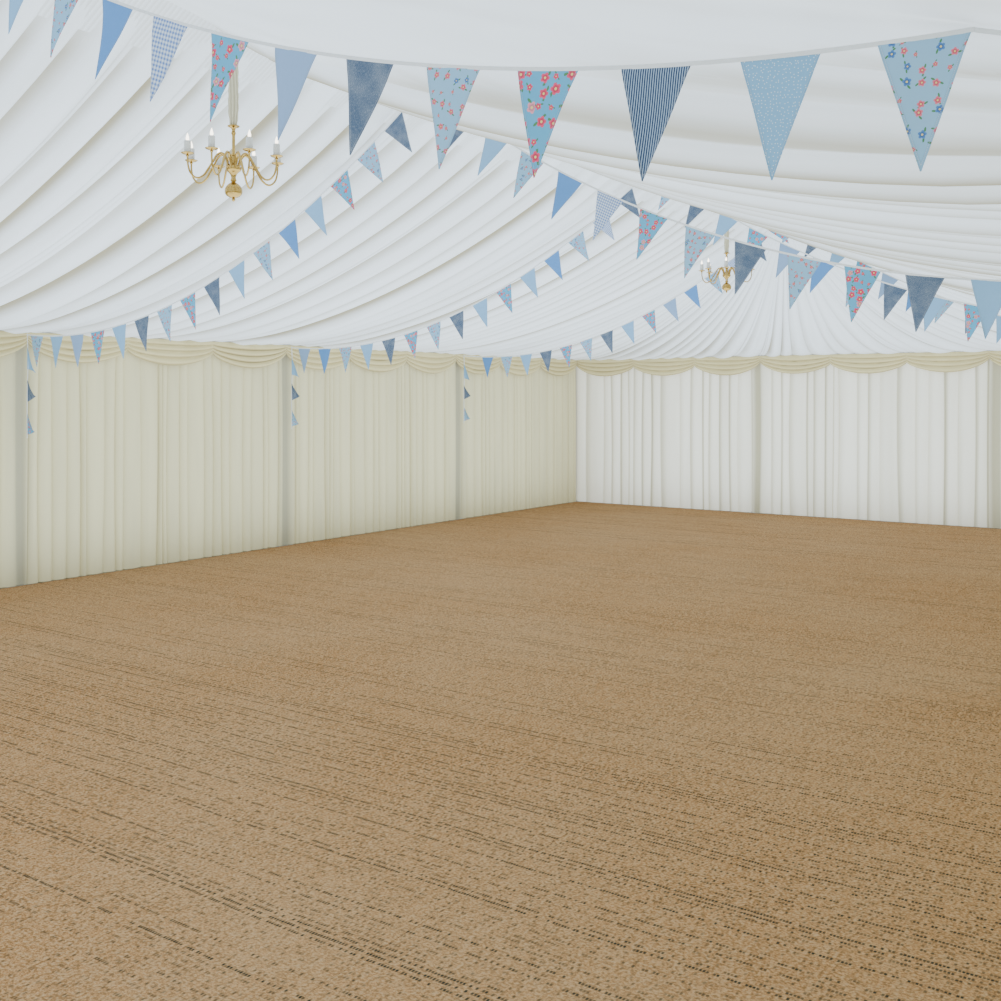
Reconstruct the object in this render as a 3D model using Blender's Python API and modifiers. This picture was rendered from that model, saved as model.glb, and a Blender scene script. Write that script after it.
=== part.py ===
"""Clear-span frame marquee, 9 m wide and five 3 m bays long, with hipped ends.

X runs across the tent, Y along its ridge and Z up. The origin is on the ground at the
centre of the footprint, and the entrance is in the end that faces -Y.
"""
import math

import bmesh
import bpy
from mathutils import Matrix, Vector

# Driving dimensions, in metres
BAY = 3.0
WHOLE_BAYS = 3
HALF_SPAN = 4.455
EAVE_HEIGHT = 2.30
RIDGE_HEIGHT = 3.70
GAP = 0.0003

LEG_DEPTH = 0.100
LEG_WIDTH = 0.050
RAFTER_DEPTH = 0.100
BASE_PLATE = 0.200
BASE_PLATE_THICKNESS = 0.012
END_POST_WIDTH = 0.060
END_POST_DEPTH = 0.100
END_POST_X = 1.5
HIP_RAFTER_WIDTH = 0.050
HIP_RAFTER_DEPTH = 0.080
HIP_HUB_WIDTH = 0.200
HIP_HUB_LENGTH = 0.080
RIDGE_BEAM_WIDTH = 0.060
RIDGE_BEAM_DEPTH = 0.100
PURLIN_WIDTH = 0.050
PURLIN_DEPTH = 0.080
PURLIN_DROP = 0.20

COVER_THICKNESS = 0.005
COVER_OVERHANG = 0.045
WALL_COVER_LAP = 0.02
VALANCE_DROP = 0.22

CURTAIN_DEPTH = 0.050
LINING_THICKNESS = 0.004
LINING_SAG = 0.30
# The bay by the entrance is lined taut, and the sag comes in over a short stretch beyond it
LINING_NEAR_SAG = 0.0
LINING_EASE = 0.80
LINING_EDGE_RISE = 0.03
LINING_TUCK = 0.015
LINING_STEPS = 10
END_SHEET_CLEARANCE = 0.005
PELMET_DEPTH = 0.060
PELMET_RISE = 0.02
PELMET_DROP = 0.29
PELMET_GATHER_DROP = 0.15
SWAGS_PER_BAY = 3
SWAG_POINTS = 8

SLEEVE_RADIUS = 0.025
SLEEVE_LENGTH = 0.55
CHANDELIER_HEIGHT = 0.38
CHANDELIER_BALL_RADIUS = 0.044
CHANDELIER_BAYS_FROM_CENTRE = 1
ARM_COUNT = 8
ARM_REACH = 0.23
ARM_RADIUS = 0.0045
PAN_HEIGHT = 0.56 * CHANDELIER_HEIGHT
PAN_RADIUS = 0.0315
PAN_DEPTH = 0.018
CANDLE_RADIUS = 0.0155
CANDLE_HEIGHT = 0.062
BULB_HEIGHT = 0.040
# Stem, hub and ball from the ring down: share of the ball's radius, share of the height
CHANDELIER_BODY = [
    (0.0, 1.0),
    (0.68, 0.99),
    (0.68, 0.975),
    (0.23, 0.95),
    (0.18, 0.905),
    (0.26, 0.88),
    (0.18, 0.86),
    (0.18, 0.62),
    (0.36, 0.605),
    (0.27, 0.59),
    (0.30, 0.50),
    (0.68, 0.47),
    (0.88, 0.43),
    (0.59, 0.39),
    (0.27, 0.32),
    (0.34, 0.275),
    (0.23, 0.26),
    (0.68, 0.215),
    (0.97, 0.175),
    (1.0, 0.12),
    (0.80, 0.08),
    (0.45, 0.055),
    (0.14, 0.05),
    (0.18, 0.025),
    (0.0, 0.0),
]
# One arm from the hub to its pan: share of the reach, share of the height
ARM_ROUTE = [
    (0.12, 0.42),
    (0.14, 0.52),
    (0.20, 0.595),
    (0.27, 0.62),
    (0.35, 0.595),
    (0.45, 0.50),
    (0.56, 0.39),
    (0.67, 0.325),
    (0.80, 0.31),
    (0.92, 0.35),
    (0.985, 0.43),
    (1.0, 0.55),
]

TAPE_WIDTH = 0.014
BUNTING_THICKNESS = 0.002
BUNTING_SAG = 0.45
PENNANT_WIDTH = 0.165
PENNANT_LENGTH = 0.236
PENNANTS_PER_SIDE = 16
TAIL_PENNANTS = 4
TAIL_PENNANT_LENGTH = 0.12
TAIL_PENNANT_DROOP = 0.7
TAIL_START_DROP = 0.08
# The string by the entrance is pinned to the taut lining, short of the wall
NEAR_STRING_REACH = 3.78
NEAR_STRING_SAG = 0.292
NEAR_STRING_PENNANTS = 14
NEAR_STRING_CLEARANCE = 0.007

MATTING_THICKNESS = 0.012
MATTING_MARGIN = 0.005

# Derived places
HALF_RIDGE = WHOLE_BAYS * BAY / 2
END_Y = HALF_RIDGE + BAY
LEG_INNER = HALF_SPAN - LEG_DEPTH
LEG_CENTRE = HALF_SPAN - LEG_DEPTH / 2
END_INNER = END_Y - END_POST_DEPTH / 2
END_OUTER = END_Y + END_POST_DEPTH / 2
ROOF_HALF_X = HALF_SPAN + COVER_OVERHANG
ROOF_HALF_Y = END_OUTER + COVER_OVERHANG
SIDE_SLOPE = (RIDGE_HEIGHT - EAVE_HEIGHT) / HALF_SPAN
ROOF_EDGE_HEIGHT = RIDGE_HEIGHT - SIDE_SLOPE * ROOF_HALF_X
END_SLOPE = (RIDGE_HEIGHT - ROOF_EDGE_HEIGHT) / (ROOF_HALF_Y - HALF_RIDGE)
PORTAL_YS = [BAY * (i - WHOLE_BAYS / 2) for i in range(WHOLE_BAYS + 1)]
RAFTER_PLUMB = RAFTER_DEPTH / math.cos(math.atan(SIDE_SLOPE))
BEAM_TOP = RIDGE_HEIGHT - RAFTER_PLUMB - SIDE_SLOPE * RIDGE_BEAM_WIDTH / 2 - GAP
BEAM_BOTTOM = BEAM_TOP - RIDGE_BEAM_DEPTH
PURLIN_BOTTOM = EAVE_HEIGHT - PURLIN_DROP
LINING_EDGE_HEIGHT = PURLIN_BOTTOM + LINING_EDGE_RISE
LINING_RIDGE_HEIGHT = BEAM_BOTTOM + LINING_TUCK
PELMET_TOP = PURLIN_BOTTOM + PELMET_RISE
CHANDELIER_RING_TOP = BEAM_BOTTOM - GAP - SLEEVE_LENGTH
WALL_BOTTOM = max(BASE_PLATE_THICKNESS, MATTING_THICKNESS) + GAP
SIDE_CURTAIN_INNER = LEG_CENTRE - BASE_PLATE / 2 - 2 * MATTING_MARGIN
END_CURTAIN_INNER = END_Y - BASE_PLATE / 2 - 2 * MATTING_MARGIN
DOOR_HALF_WIDTH = END_POST_X - END_POST_WIDTH / 2

collection = bpy.data.collections.new("marquee_tent")
tools = bpy.data.collections.new("construction_helpers")


def clear_scene():
    for obj in list(bpy.data.objects):
        bpy.data.objects.remove(obj, do_unlink=True)
    bpy.context.scene.collection.children.link(collection)
    bpy.context.scene.collection.children.link(tools)


def finish_material(name, colour, roughness, metallic=0.0):
    material = bpy.data.materials.new(name)
    material.use_nodes = True
    shader = material.node_tree.nodes["Principled BSDF"]
    shader.inputs["Base Color"].default_value = (*colour, 1.0)
    shader.inputs["Roughness"].default_value = roughness
    shader.inputs["Metallic"].default_value = metallic
    return material


def add_part(name, mesh, material, place=None):
    obj = bpy.data.objects.new(name, mesh)
    mesh.materials.clear()
    mesh.materials.append(material)
    collection.objects.link(obj)
    if place is not None:
        obj.matrix_world = place
    return obj


def mesh_from(bm, name):
    bmesh.ops.recalc_face_normals(bm, faces=bm.faces)
    mesh = bpy.data.meshes.new(name)
    bm.to_mesh(mesh)
    bm.free()
    return mesh


def box_mesh(name, low, high):
    """A box between two corners, kept in place in its own mesh."""
    low = Vector(low)
    high = Vector(high)
    bm = bmesh.new()
    bmesh.ops.create_cube(bm, size=1.0)
    size = high - low
    bmesh.ops.scale(bm, vec=size, verts=bm.verts)
    bmesh.ops.translate(bm, vec=(low + high) / 2, verts=bm.verts)
    return mesh_from(bm, name)


def box(name, low, high, material):
    return add_part(name, box_mesh(name, low, high), material)


def plate_mesh(name, outline, thickness):
    """A flat outline in X and Z, given its thickness evenly about Y = 0."""
    curve = bpy.data.curves.new(name + "_outline", "CURVE")
    curve.dimensions = "2D"
    curve.fill_mode = "BOTH"
    curve.extrude = thickness / 2
    spline = curve.splines.new("POLY")
    spline.points.add(len(outline) - 1)
    for point, (x, z) in zip(spline.points, outline):
        point.co = (x, z, 0.0, 1.0)
    spline.use_cyclic_u = True
    return turned_curve_mesh(name, curve, Matrix.Rotation(math.pi / 2, 4, "X"))


def turned_curve_mesh(name, curve, turn):
    """The solid that a curve makes, with its caps welded and a turn applied."""
    guide = bpy.data.objects.new(name + "_guide", curve)
    tools.objects.link(guide)
    bpy.context.view_layer.update()
    evaluated = guide.evaluated_get(bpy.context.evaluated_depsgraph_get())
    mesh = bpy.data.meshes.new_from_object(evaluated)
    bpy.data.objects.remove(guide, do_unlink=True)
    bm = bmesh.new()
    bm.from_mesh(mesh)
    bpy.data.meshes.remove(mesh)
    bmesh.ops.remove_doubles(bm, verts=bm.verts, dist=0.00001)
    bmesh.ops.transform(bm, matrix=turn, verts=bm.verts)
    return mesh_from(bm, name)


def join_meshes(obj, meshes):
    """Unite helper solids with an object by Boolean modifiers."""
    for number, mesh in enumerate(meshes):
        helper = bpy.data.objects.new(f"{obj.name}_helper_{number}", mesh)
        tools.objects.link(helper)
        helper.hide_render = True
        helper.display_type = "WIRE"
        union = obj.modifiers.new(f"join_{number}", "BOOLEAN")
        union.operation = "UNION"
        union.solver = "EXACT"
        union.object = helper


def sheet_mesh(name, rows, thickness, along_y):
    """A sheet of rows (place, [(across, height), ...]), thickened straight up.

    Rows run along Y at a place in X when along_y is true, and along X otherwise.
    """
    steps = len(rows) - 1
    spans = len(rows[0][1]) - 1
    bm = bmesh.new()
    bmesh.ops.create_grid(bm, x_segments=steps, y_segments=spans, size=1.0)
    for vert in bm.verts:
        place, stations = rows[round((vert.co.x + 1) / 2 * steps)]
        across, height = stations[round((vert.co.y + 1) / 2 * spans)]
        vert.co = (place, across, height) if along_y else (across, place, height)
    raised = bmesh.ops.extrude_face_region(bm, geom=bm.faces[:], use_keep_orig=True)
    top = [item for item in raised["geom"] if isinstance(item, bmesh.types.BMVert)]
    bmesh.ops.translate(bm, vec=(0.0, 0.0, thickness), verts=top)
    return mesh_from(bm, name)


def base_plate_mesh(x, y):
    half = BASE_PLATE / 2
    return box_mesh("base_plate", (x - half, y - half, 0.0), (x + half, y + half, BASE_PLATE_THICKNESS))


def portal_outline():
    """Legs and rafters of one portal, from the right foot over the ridge and back."""
    top_x = LEG_INNER
    outer = [(HALF_SPAN, 0.0), (HALF_SPAN, EAVE_HEIGHT), (0.0, RIDGE_HEIGHT)]
    outer += [(-HALF_SPAN, EAVE_HEIGHT), (-HALF_SPAN, 0.0)]
    under_eave = RIDGE_HEIGHT - SIDE_SLOPE * top_x - RAFTER_PLUMB
    inner = [(-top_x, 0.0), (-top_x, under_eave), (0.0, RIDGE_HEIGHT - RAFTER_PLUMB)]
    inner += [(top_x, under_eave), (top_x, 0.0)]
    return outer + inner


def build_portals(aluminium):
    for number, y in enumerate(PORTAL_YS, start=1):
        mesh = plate_mesh(f"portal_{number}", portal_outline(), LEG_WIDTH)
        portal = add_part(f"portal_{number}", mesh, aluminium, Matrix.Translation((0.0, y, 0.0)))
        join_meshes(portal, [base_plate_mesh(side * LEG_CENTRE, y) for side in (-1, 1)])


def hip_geometry():
    """Plan direction of a hip, its run to the end, and how far its top lies under the covers."""
    run = Vector((ROOF_HALF_X, ROOF_HALF_Y - HALF_RIDGE))
    length = run.length
    direction = run / length
    fall = (RIDGE_HEIGHT - ROOF_EDGE_HEIGHT) / length
    side_fall = SIDE_SLOPE * direction.y
    end_fall = END_SLOPE * direction.x
    drop = HIP_RAFTER_WIDTH / 2 * max(side_fall, end_fall) + GAP
    reach = (END_OUTER - HIP_RAFTER_WIDTH / 2 - HALF_RIDGE) / direction.y
    return direction, fall, drop, reach


def end_frame_top():
    _, fall, drop, reach = hip_geometry()
    plumb = HIP_RAFTER_DEPTH / math.cos(math.atan(fall))
    return RIDGE_HEIGHT - fall * reach - drop - plumb - GAP


def end_frame_outline():
    """Four posts under one head beam, as a comb that stands on its teeth."""
    posts = [(-HALF_SPAN, -LEG_INNER)]
    for centre in (-END_POST_X, END_POST_X):
        posts.append((centre - END_POST_WIDTH / 2, centre + END_POST_WIDTH / 2))
    posts.append((LEG_INNER, HALF_SPAN))
    top = end_frame_top()
    outline = [(HALF_SPAN, top), (-HALF_SPAN, top)]
    for left, right in posts:
        start = [(left, 0.0)] if left == -HALF_SPAN else [(left, PURLIN_BOTTOM), (left, 0.0)]
        end = [(right, 0.0)] if right == HALF_SPAN else [(right, 0.0), (right, PURLIN_BOTTOM)]
        outline += start + end
    return outline


def build_end_frames(aluminium):
    for name, side in (("far", 1), ("near", -1)):
        y = side * END_Y
        node = f"end_frame_{name}"
        mesh = plate_mesh(node, end_frame_outline(), END_POST_DEPTH)
        frame = add_part(node, mesh, aluminium, Matrix.Translation((0.0, y, 0.0)))
        feet = [-LEG_CENTRE, -END_POST_X, END_POST_X, LEG_CENTRE]
        join_meshes(frame, [base_plate_mesh(x, y) for x in feet])


def build_hip_rafters(aluminium):
    """Two hip rafters of each end, joined by a hub that bears on the last portal."""
    direction, fall, drop, reach = hip_geometry()
    plumb = HIP_RAFTER_DEPTH / math.cos(math.atan(fall))
    hub_start = LEG_WIDTH / 2 + GAP
    start = (hub_start + HIP_RAFTER_WIDTH / 2 * direction.x) / direction.y
    top_at = RIDGE_HEIGHT - drop
    outline = [(start, top_at - fall * start), (start, top_at - fall * start - plumb)]
    outline += [(reach, top_at - fall * reach - plumb), (reach, top_at - fall * reach)]
    hub_top = RIDGE_HEIGHT - END_SLOPE * (hub_start + HIP_HUB_LENGTH) - GAP
    hub_top = min(hub_top, RIDGE_HEIGHT - SIDE_SLOPE * HIP_HUB_WIDTH / 2 - GAP)
    hub_low = (-HIP_HUB_WIDTH / 2, hub_start, hub_top - HIP_RAFTER_DEPTH)
    hub_high = (HIP_HUB_WIDTH / 2, hub_start + HIP_HUB_LENGTH, hub_top)
    angle = math.atan2(direction.y, direction.x)
    for name, side in (("far", 1), ("near", -1)):
        rafters = []
        for mirror in (angle, math.pi - angle):
            mesh = plate_mesh(f"hip_{name}", outline, HIP_RAFTER_WIDTH)
            mesh.transform(Matrix.Rotation(mirror, 4, "Z"))
            rafters.append(mesh)
        node = f"hip_rafters_{name}"
        turn = Matrix.Rotation(0.0 if side > 0 else math.pi, 4, "Z")
        place = Matrix.Translation((0.0, side * HALF_RIDGE, 0.0)) @ turn
        hub = add_part(node, box_mesh(node, hub_low, hub_high), aluminium, place)
        for mesh in rafters:
            mesh.transform(place)
        join_meshes(hub, rafters)


def build_beams(aluminium):
    half = RIDGE_BEAM_WIDTH / 2
    end = HALF_RIDGE + LEG_WIDTH / 2
    box("ridge_beam", (-half, -end, BEAM_BOTTOM), (half, end, BEAM_TOP), aluminium)
    outer = LEG_INNER - GAP
    inner = outer - PURLIN_WIDTH
    length = END_INNER - GAP
    top = PURLIN_BOTTOM + PURLIN_DEPTH
    box("eave_purlin_left", (-outer, -length, PURLIN_BOTTOM), (-inner, length, top), aluminium)
    box("eave_purlin_right", (inner, -length, PURLIN_BOTTOM), (outer, length, top), aluminium)


def roof_sheets(prefix, half_x, half_y, inner, stations_at, steps, thickness, material):
    """Four faces of a hipped roof over one footprint, each stopping a gap short of its hips.

    stations_at gives the points (across, height) of one row from its share of the way down.
    """
    run = half_y - HALF_RIDGE
    first = inner / half_x
    end_first = (LEG_WIDTH / 2 + END_SHEET_CLEARANCE) / run
    shares = [first + (1 - first) * i / steps for i in range(steps + 1)]
    end_shares = [end_first + (1 - end_first) * i / steps for i in range(steps + 1)]
    for name, sign in (("left", -1), ("right", 1)):
        rows = [(sign * half_x * t, stations_at(name, t, HALF_RIDGE + run * t - GAP)) for t in shares]
        node = f"{prefix}_{name}"
        add_part(node, sheet_mesh(node, rows, thickness, True), material)
    for name, sign in (("far", 1), ("near", -1)):
        rows = [
            (sign * (HALF_RIDGE + run * t), stations_at(name, t, half_x * t - GAP)) for t in end_shares
        ]
        node = f"{prefix}_{name}"
        add_part(node, sheet_mesh(node, rows, thickness, False), material)


def lining_height(share, sag):
    """Hanging line of the lining from the ridge, share 0, to the eaves, share 1."""
    straight = LINING_RIDGE_HEIGHT + (LINING_EDGE_HEIGHT - LINING_RIDGE_HEIGHT) * share
    return straight - 4 * sag * share * (1 - share)


def lining_stations(face, share, reach):
    taut = lining_height(share, LINING_NEAR_SAG)
    slack = lining_height(share, LINING_SAG)
    if face in ("far", "near"):
        height = slack if face == "far" else taut
        return [(-reach, height), (reach, height)]
    return [(-reach, taut), (-HALF_RIDGE, taut), (-HALF_RIDGE + LINING_EASE, slack), (reach, slack)]


def cover_stations(face, share, reach):
    height = RIDGE_HEIGHT + GAP + (ROOF_EDGE_HEIGHT - RIDGE_HEIGHT) * share
    return [(-reach, height), (reach, height)]


def build_roof(cover, lining):
    roof_sheets("roof_cover", ROOF_HALF_X, ROOF_HALF_Y, GAP / 2, cover_stations, 1, COVER_THICKNESS, cover)
    side_edge = LEG_INNER - 2 * GAP - PURLIN_WIDTH
    roof_sheets(
        "roof_lining",
        side_edge,
        END_INNER - GAP,
        RIDGE_BEAM_WIDTH / 2 + GAP,
        lining_stations,
        LINING_STEPS,
        LINING_THICKNESS,
        lining,
    )


def build_valances(cover):
    top = ROOF_EDGE_HEIGHT
    bottom = top - VALANCE_DROP
    outer_x = ROOF_HALF_X
    inner_x = outer_x - COVER_THICKNESS
    outer_y = ROOF_HALF_Y
    inner_y = outer_y - COVER_THICKNESS
    end_x = inner_x - GAP
    box("valance_left", (-outer_x, -outer_y, bottom), (-inner_x, outer_y, top), cover)
    box("valance_right", (inner_x, -outer_y, bottom), (outer_x, outer_y, top), cover)
    box("valance_far", (-end_x, inner_y, bottom), (end_x, outer_y, top), cover)
    box("valance_near", (-end_x, -outer_y, bottom), (end_x, -inner_y, top), cover)


def build_wall_covers(cover):
    inner_x = HALF_SPAN + GAP
    outer_x = inner_x + COVER_THICKNESS
    inner_y = END_OUTER + GAP
    outer_y = inner_y + COVER_THICKNESS
    low = WALL_BOTTOM
    top = EAVE_HEIGHT - WALL_COVER_LAP
    box("wall_cover_left", (-outer_x, -outer_y, low), (-inner_x, outer_y, top), cover)
    box("wall_cover_right", (inner_x, -outer_y, low), (outer_x, outer_y, top), cover)
    box("wall_cover_far", (-HALF_SPAN, inner_y, low), (HALF_SPAN, outer_y, top), cover)
    door = DOOR_HALF_WIDTH
    box("wall_cover_near_left", (-HALF_SPAN, -outer_y, low), (-door, -inner_y, top), cover)
    box("wall_cover_near_right", (door, -outer_y, low), (HALF_SPAN, -inner_y, top), cover)


def build_curtains(cloth):
    inner_x = SIDE_CURTAIN_INNER
    outer_x = inner_x + CURTAIN_DEPTH
    inner_y = END_CURTAIN_INNER
    outer_y = END_INNER - GAP
    side_y = inner_y - GAP
    low = WALL_BOTTOM
    top = PURLIN_BOTTOM - GAP
    box("wall_curtain_left", (-outer_x, -side_y, low), (-inner_x, side_y, top), cloth)
    box("wall_curtain_right", (inner_x, -side_y, low), (outer_x, side_y, top), cloth)
    box("wall_curtain_far", (-outer_x, inner_y, low), (outer_x, outer_y, top), cloth)
    door = DOOR_HALF_WIDTH
    box("wall_curtain_near_left", (-outer_x, -outer_y, low), (-door, -inner_y, top), cloth)
    box("wall_curtain_near_right", (door, -outer_y, low), (outer_x, -inner_y, top), cloth)


def pelmet_outline(length, swags):
    """A straight top and one scallop for each swag, centred on X = 0."""
    pitch = length / swags
    start = -length / 2
    outline = [(start, PELMET_TOP), (start, PELMET_TOP - PELMET_GATHER_DROP)]
    for swag in range(swags):
        for step in range(1, SWAG_POINTS + 1):
            share = step / SWAG_POINTS
            belly = math.sin(math.pi * share) ** 0.75 if share < 1 else 0.0
            depth = PELMET_GATHER_DROP + (PELMET_DROP - PELMET_GATHER_DROP) * belly
            outline.append((start + pitch * (swag + share), PELMET_TOP - depth))
    outline.append((length / 2, PELMET_TOP))
    return outline


def build_pelmets(cloth):
    half_x = SIDE_CURTAIN_INNER - GAP
    half_y = END_CURTAIN_INNER - GAP
    end_length = 2 * half_x
    side_length = 2 * (half_y - PELMET_DEPTH - GAP)
    side_swags = SWAGS_PER_BAY * (WHOLE_BAYS + 2)
    end_swags = SWAGS_PER_BAY * 3
    quarter = Matrix.Rotation(math.pi / 2, 4, "Z")
    for name, side in (("left", -1), ("right", 1)):
        node = f"pelmet_{name}"
        mesh = plate_mesh(node, pelmet_outline(side_length, side_swags), PELMET_DEPTH)
        place = Matrix.Translation((side * (half_x - PELMET_DEPTH / 2), 0.0, 0.0)) @ quarter
        add_part(node, mesh, cloth, place)
    for name, side in (("far", 1), ("near", -1)):
        node = f"pelmet_{name}"
        mesh = plate_mesh(node, pelmet_outline(end_length, end_swags), PELMET_DEPTH)
        place = Matrix.Translation((0.0, side * (half_y - PELMET_DEPTH / 2), 0.0))
        add_part(node, mesh, cloth, place)


def turned_mesh(name, profile, sides):
    """A solid of revolution about Z from (radius, height) pairs that run top to bottom."""
    bm = bmesh.new()
    verts = [bm.verts.new((radius, 0.0, height)) for radius, height in profile]
    for first, second in zip(verts, verts[1:]):
        bm.edges.new((first, second))
    mesh = bpy.data.meshes.new(name)
    bm.to_mesh(mesh)
    bm.free()
    guide = bpy.data.objects.new(name + "_profile", mesh)
    tools.objects.link(guide)
    screw = guide.modifiers.new("turn", "SCREW")
    screw.steps = sides
    screw.render_steps = sides
    screw.use_merge_vertices = True
    screw.merge_threshold = 0.0001
    bpy.context.view_layer.update()
    evaluated = guide.evaluated_get(bpy.context.evaluated_depsgraph_get())
    turned = bpy.data.meshes.new_from_object(evaluated)
    bpy.data.objects.remove(guide, do_unlink=True)
    turned.name = name
    return turned


def arm_mesh(angle):
    """One arm that rises from the hub, dips and curls up to its drip pan."""
    curve = bpy.data.curves.new("arm_route", "CURVE")
    curve.dimensions = "3D"
    curve.resolution_u = 3
    curve.bevel_depth = ARM_RADIUS
    curve.bevel_resolution = 1
    curve.use_fill_caps = True
    spline = curve.splines.new("BEZIER")
    spline.bezier_points.add(len(ARM_ROUTE) - 1)
    for point, (out, up) in zip(spline.bezier_points, ARM_ROUTE):
        point.handle_left_type = "AUTO"
        point.handle_right_type = "AUTO"
        point.co = (ARM_REACH * out, 0.0, CHANDELIER_HEIGHT * up)
    return turned_curve_mesh("arm", curve, Matrix.Rotation(angle, 4, "Z"))


def candle_mesh(angle):
    """A drip pan with its candle tube and bulb, on the end of an arm."""
    tube_top = PAN_HEIGHT + CANDLE_HEIGHT
    profile = [
        (0.0, tube_top + BULB_HEIGHT),
        (CANDLE_RADIUS * 0.8, tube_top + BULB_HEIGHT * 0.4),
        (CANDLE_RADIUS, tube_top),
        (CANDLE_RADIUS, PAN_HEIGHT + PAN_DEPTH * 0.6),
        (PAN_RADIUS, PAN_HEIGHT + PAN_DEPTH * 0.4),
        (PAN_RADIUS * 0.6, PAN_HEIGHT - PAN_DEPTH * 0.2),
        (0.0, PAN_HEIGHT - PAN_DEPTH * 0.4),
    ]
    mesh = turned_mesh("candle", profile, 10)
    mesh.transform(Matrix.Rotation(angle, 4, "Z") @ Matrix.Translation((ARM_REACH, 0.0, 0.0)))
    return mesh


def build_chandeliers(brass, sleeve_cloth):
    """Turned stem and ball with arms; heights are above the bottom finial."""
    body_profile = [
        (CHANDELIER_BALL_RADIUS * across, CHANDELIER_HEIGHT * up) for across, up in CHANDELIER_BODY
    ]
    base_height = CHANDELIER_RING_TOP - CHANDELIER_HEIGHT
    for number, side in ((1, 1), (2, -1)):
        y = side * BAY * CHANDELIER_BAYS_FROM_CENTRE
        place = Matrix.Translation((0.0, y, base_height))
        node = f"chandelier_{number}"
        body = add_part(node, turned_mesh(node, body_profile, 16), brass, place)
        pieces = []
        for arm in range(ARM_COUNT):
            angle = 2 * math.pi * (arm + 0.5) / ARM_COUNT
            pieces.append(arm_mesh(angle))
            pieces.append(candle_mesh(angle))
        for mesh in pieces:
            mesh.transform(place)
        join_meshes(body, pieces)
        sleeve_profile = [
            (0.0, BEAM_BOTTOM - GAP),
            (SLEEVE_RADIUS, BEAM_BOTTOM - GAP),
            (SLEEVE_RADIUS, CHANDELIER_RING_TOP + GAP),
            (0.0, CHANDELIER_RING_TOP + GAP),
        ]
        sleeve = turned_mesh(f"sleeve_{number}", sleeve_profile, 16)
        add_part(f"sleeve_{number}", sleeve, sleeve_cloth, Matrix.Translation((0.0, y, 0.0)))


def bunting_half(reach, pin_height, sag, count, tails):
    """The right half of a string: pennants from the ridge, the tail, and the tape back up."""
    top_height = BEAM_BOTTOM - GAP
    pitch = reach / count

    def top_at(x):
        share = x / reach
        return top_height + (pin_height - top_height) * share - 4 * sag * share * (1 - share)

    tape = [(pitch * i, top_at(pitch * i)) for i in range(count + 1)]
    lower = []
    margin = (pitch - PENNANT_WIDTH) / 2
    for i in range(count):
        left = pitch * i + margin
        right = left + PENNANT_WIDTH
        middle = (left + right) / 2
        lower.append((left, top_at(left) - TAPE_WIDTH))
        lower.append((middle, top_at(middle) - TAPE_WIDTH - PENNANT_LENGTH))
        lower.append((right, top_at(right) - TAPE_WIDTH))
    if not tails:
        return lower + [(reach, pin_height - TAPE_WIDTH)] + tape[::-1]
    tail_inner = reach - TAPE_WIDTH
    tail = [(tail_inner, pin_height - 2 * TAPE_WIDTH)]
    for i in range(tails):
        start = pin_height - TAIL_START_DROP - i * pitch
        tip = start - PENNANT_WIDTH * TAIL_PENNANT_DROOP
        tail.append((tail_inner, start))
        tail.append((tail_inner - TAIL_PENNANT_LENGTH, tip))
        tail.append((tail_inner, start - PENNANT_WIDTH))
    tail_end = pin_height - TAIL_START_DROP - tails * pitch
    return lower + tail + [(tail_inner, tail_end), (reach, tail_end)] + tape[::-1]


def build_bunting(cotton):
    wall_reach = SIDE_CURTAIN_INNER - PELMET_DEPTH - 2 * GAP
    lining_edge = LEG_INNER - PURLIN_WIDTH
    near_pin = lining_height(NEAR_STRING_REACH / lining_edge, LINING_NEAR_SAG) - NEAR_STRING_CLEARANCE
    near = bunting_half(NEAR_STRING_REACH, near_pin, NEAR_STRING_SAG, NEAR_STRING_PENNANTS, 0)
    usual = bunting_half(wall_reach, PURLIN_BOTTOM, BUNTING_SAG, PENNANTS_PER_SIDE, TAIL_PENNANTS)
    for number, y in enumerate(PORTAL_YS, start=1):
        half = near if number == 1 else usual
        mirrored = [(-x, z) for x, z in half[::-1]]
        node = f"bunting_{number}"
        mesh = plate_mesh(node, half[:-1] + mirrored, BUNTING_THICKNESS)
        add_part(node, mesh, cotton, Matrix.Translation((0.0, y, 0.0)))


def build_matting(coir):
    half_x = LEG_CENTRE - BASE_PLATE / 2 - MATTING_MARGIN
    half_y = END_Y - BASE_PLATE / 2 - MATTING_MARGIN
    box("coir_matting", (-half_x, -half_y, 0.0), (half_x, half_y, MATTING_THICKNESS), coir)


def main():
    clear_scene()
    aluminium = finish_material("mill_aluminium", (0.62, 0.63, 0.64), 0.35, 1.0)
    cover = finish_material("white_coated_cover", (0.80, 0.81, 0.80), 0.45)
    lining = finish_material("ivory_roof_lining", (0.78, 0.79, 0.78), 0.85)
    curtain = finish_material("ivory_wall_curtain", (0.72, 0.69, 0.62), 0.85)
    pelmet = finish_material("cream_pelmet", (0.75, 0.67, 0.45), 0.80)
    brass = finish_material("polished_brass", (0.72, 0.50, 0.20), 0.22, 1.0)
    sleeve = finish_material("cream_sleeve", (0.75, 0.68, 0.50), 0.85)
    cotton = finish_material("bunting_cotton", (0.38, 0.50, 0.66), 0.85)
    coir = finish_material("coir", (0.42, 0.28, 0.15), 0.95)
    build_portals(aluminium)
    build_end_frames(aluminium)
    build_hip_rafters(aluminium)
    build_beams(aluminium)
    build_roof(cover, lining)
    build_valances(cover)
    build_wall_covers(cover)
    build_curtains(curtain)
    build_pelmets(pelmet)
    build_chandeliers(brass, sleeve)
    build_bunting(cotton)
    build_matting(coir)


main()
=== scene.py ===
"""Dressing of a frame marquee: linings, curtains, swags, bunting, chandeliers, covers and matting."""
import math

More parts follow.
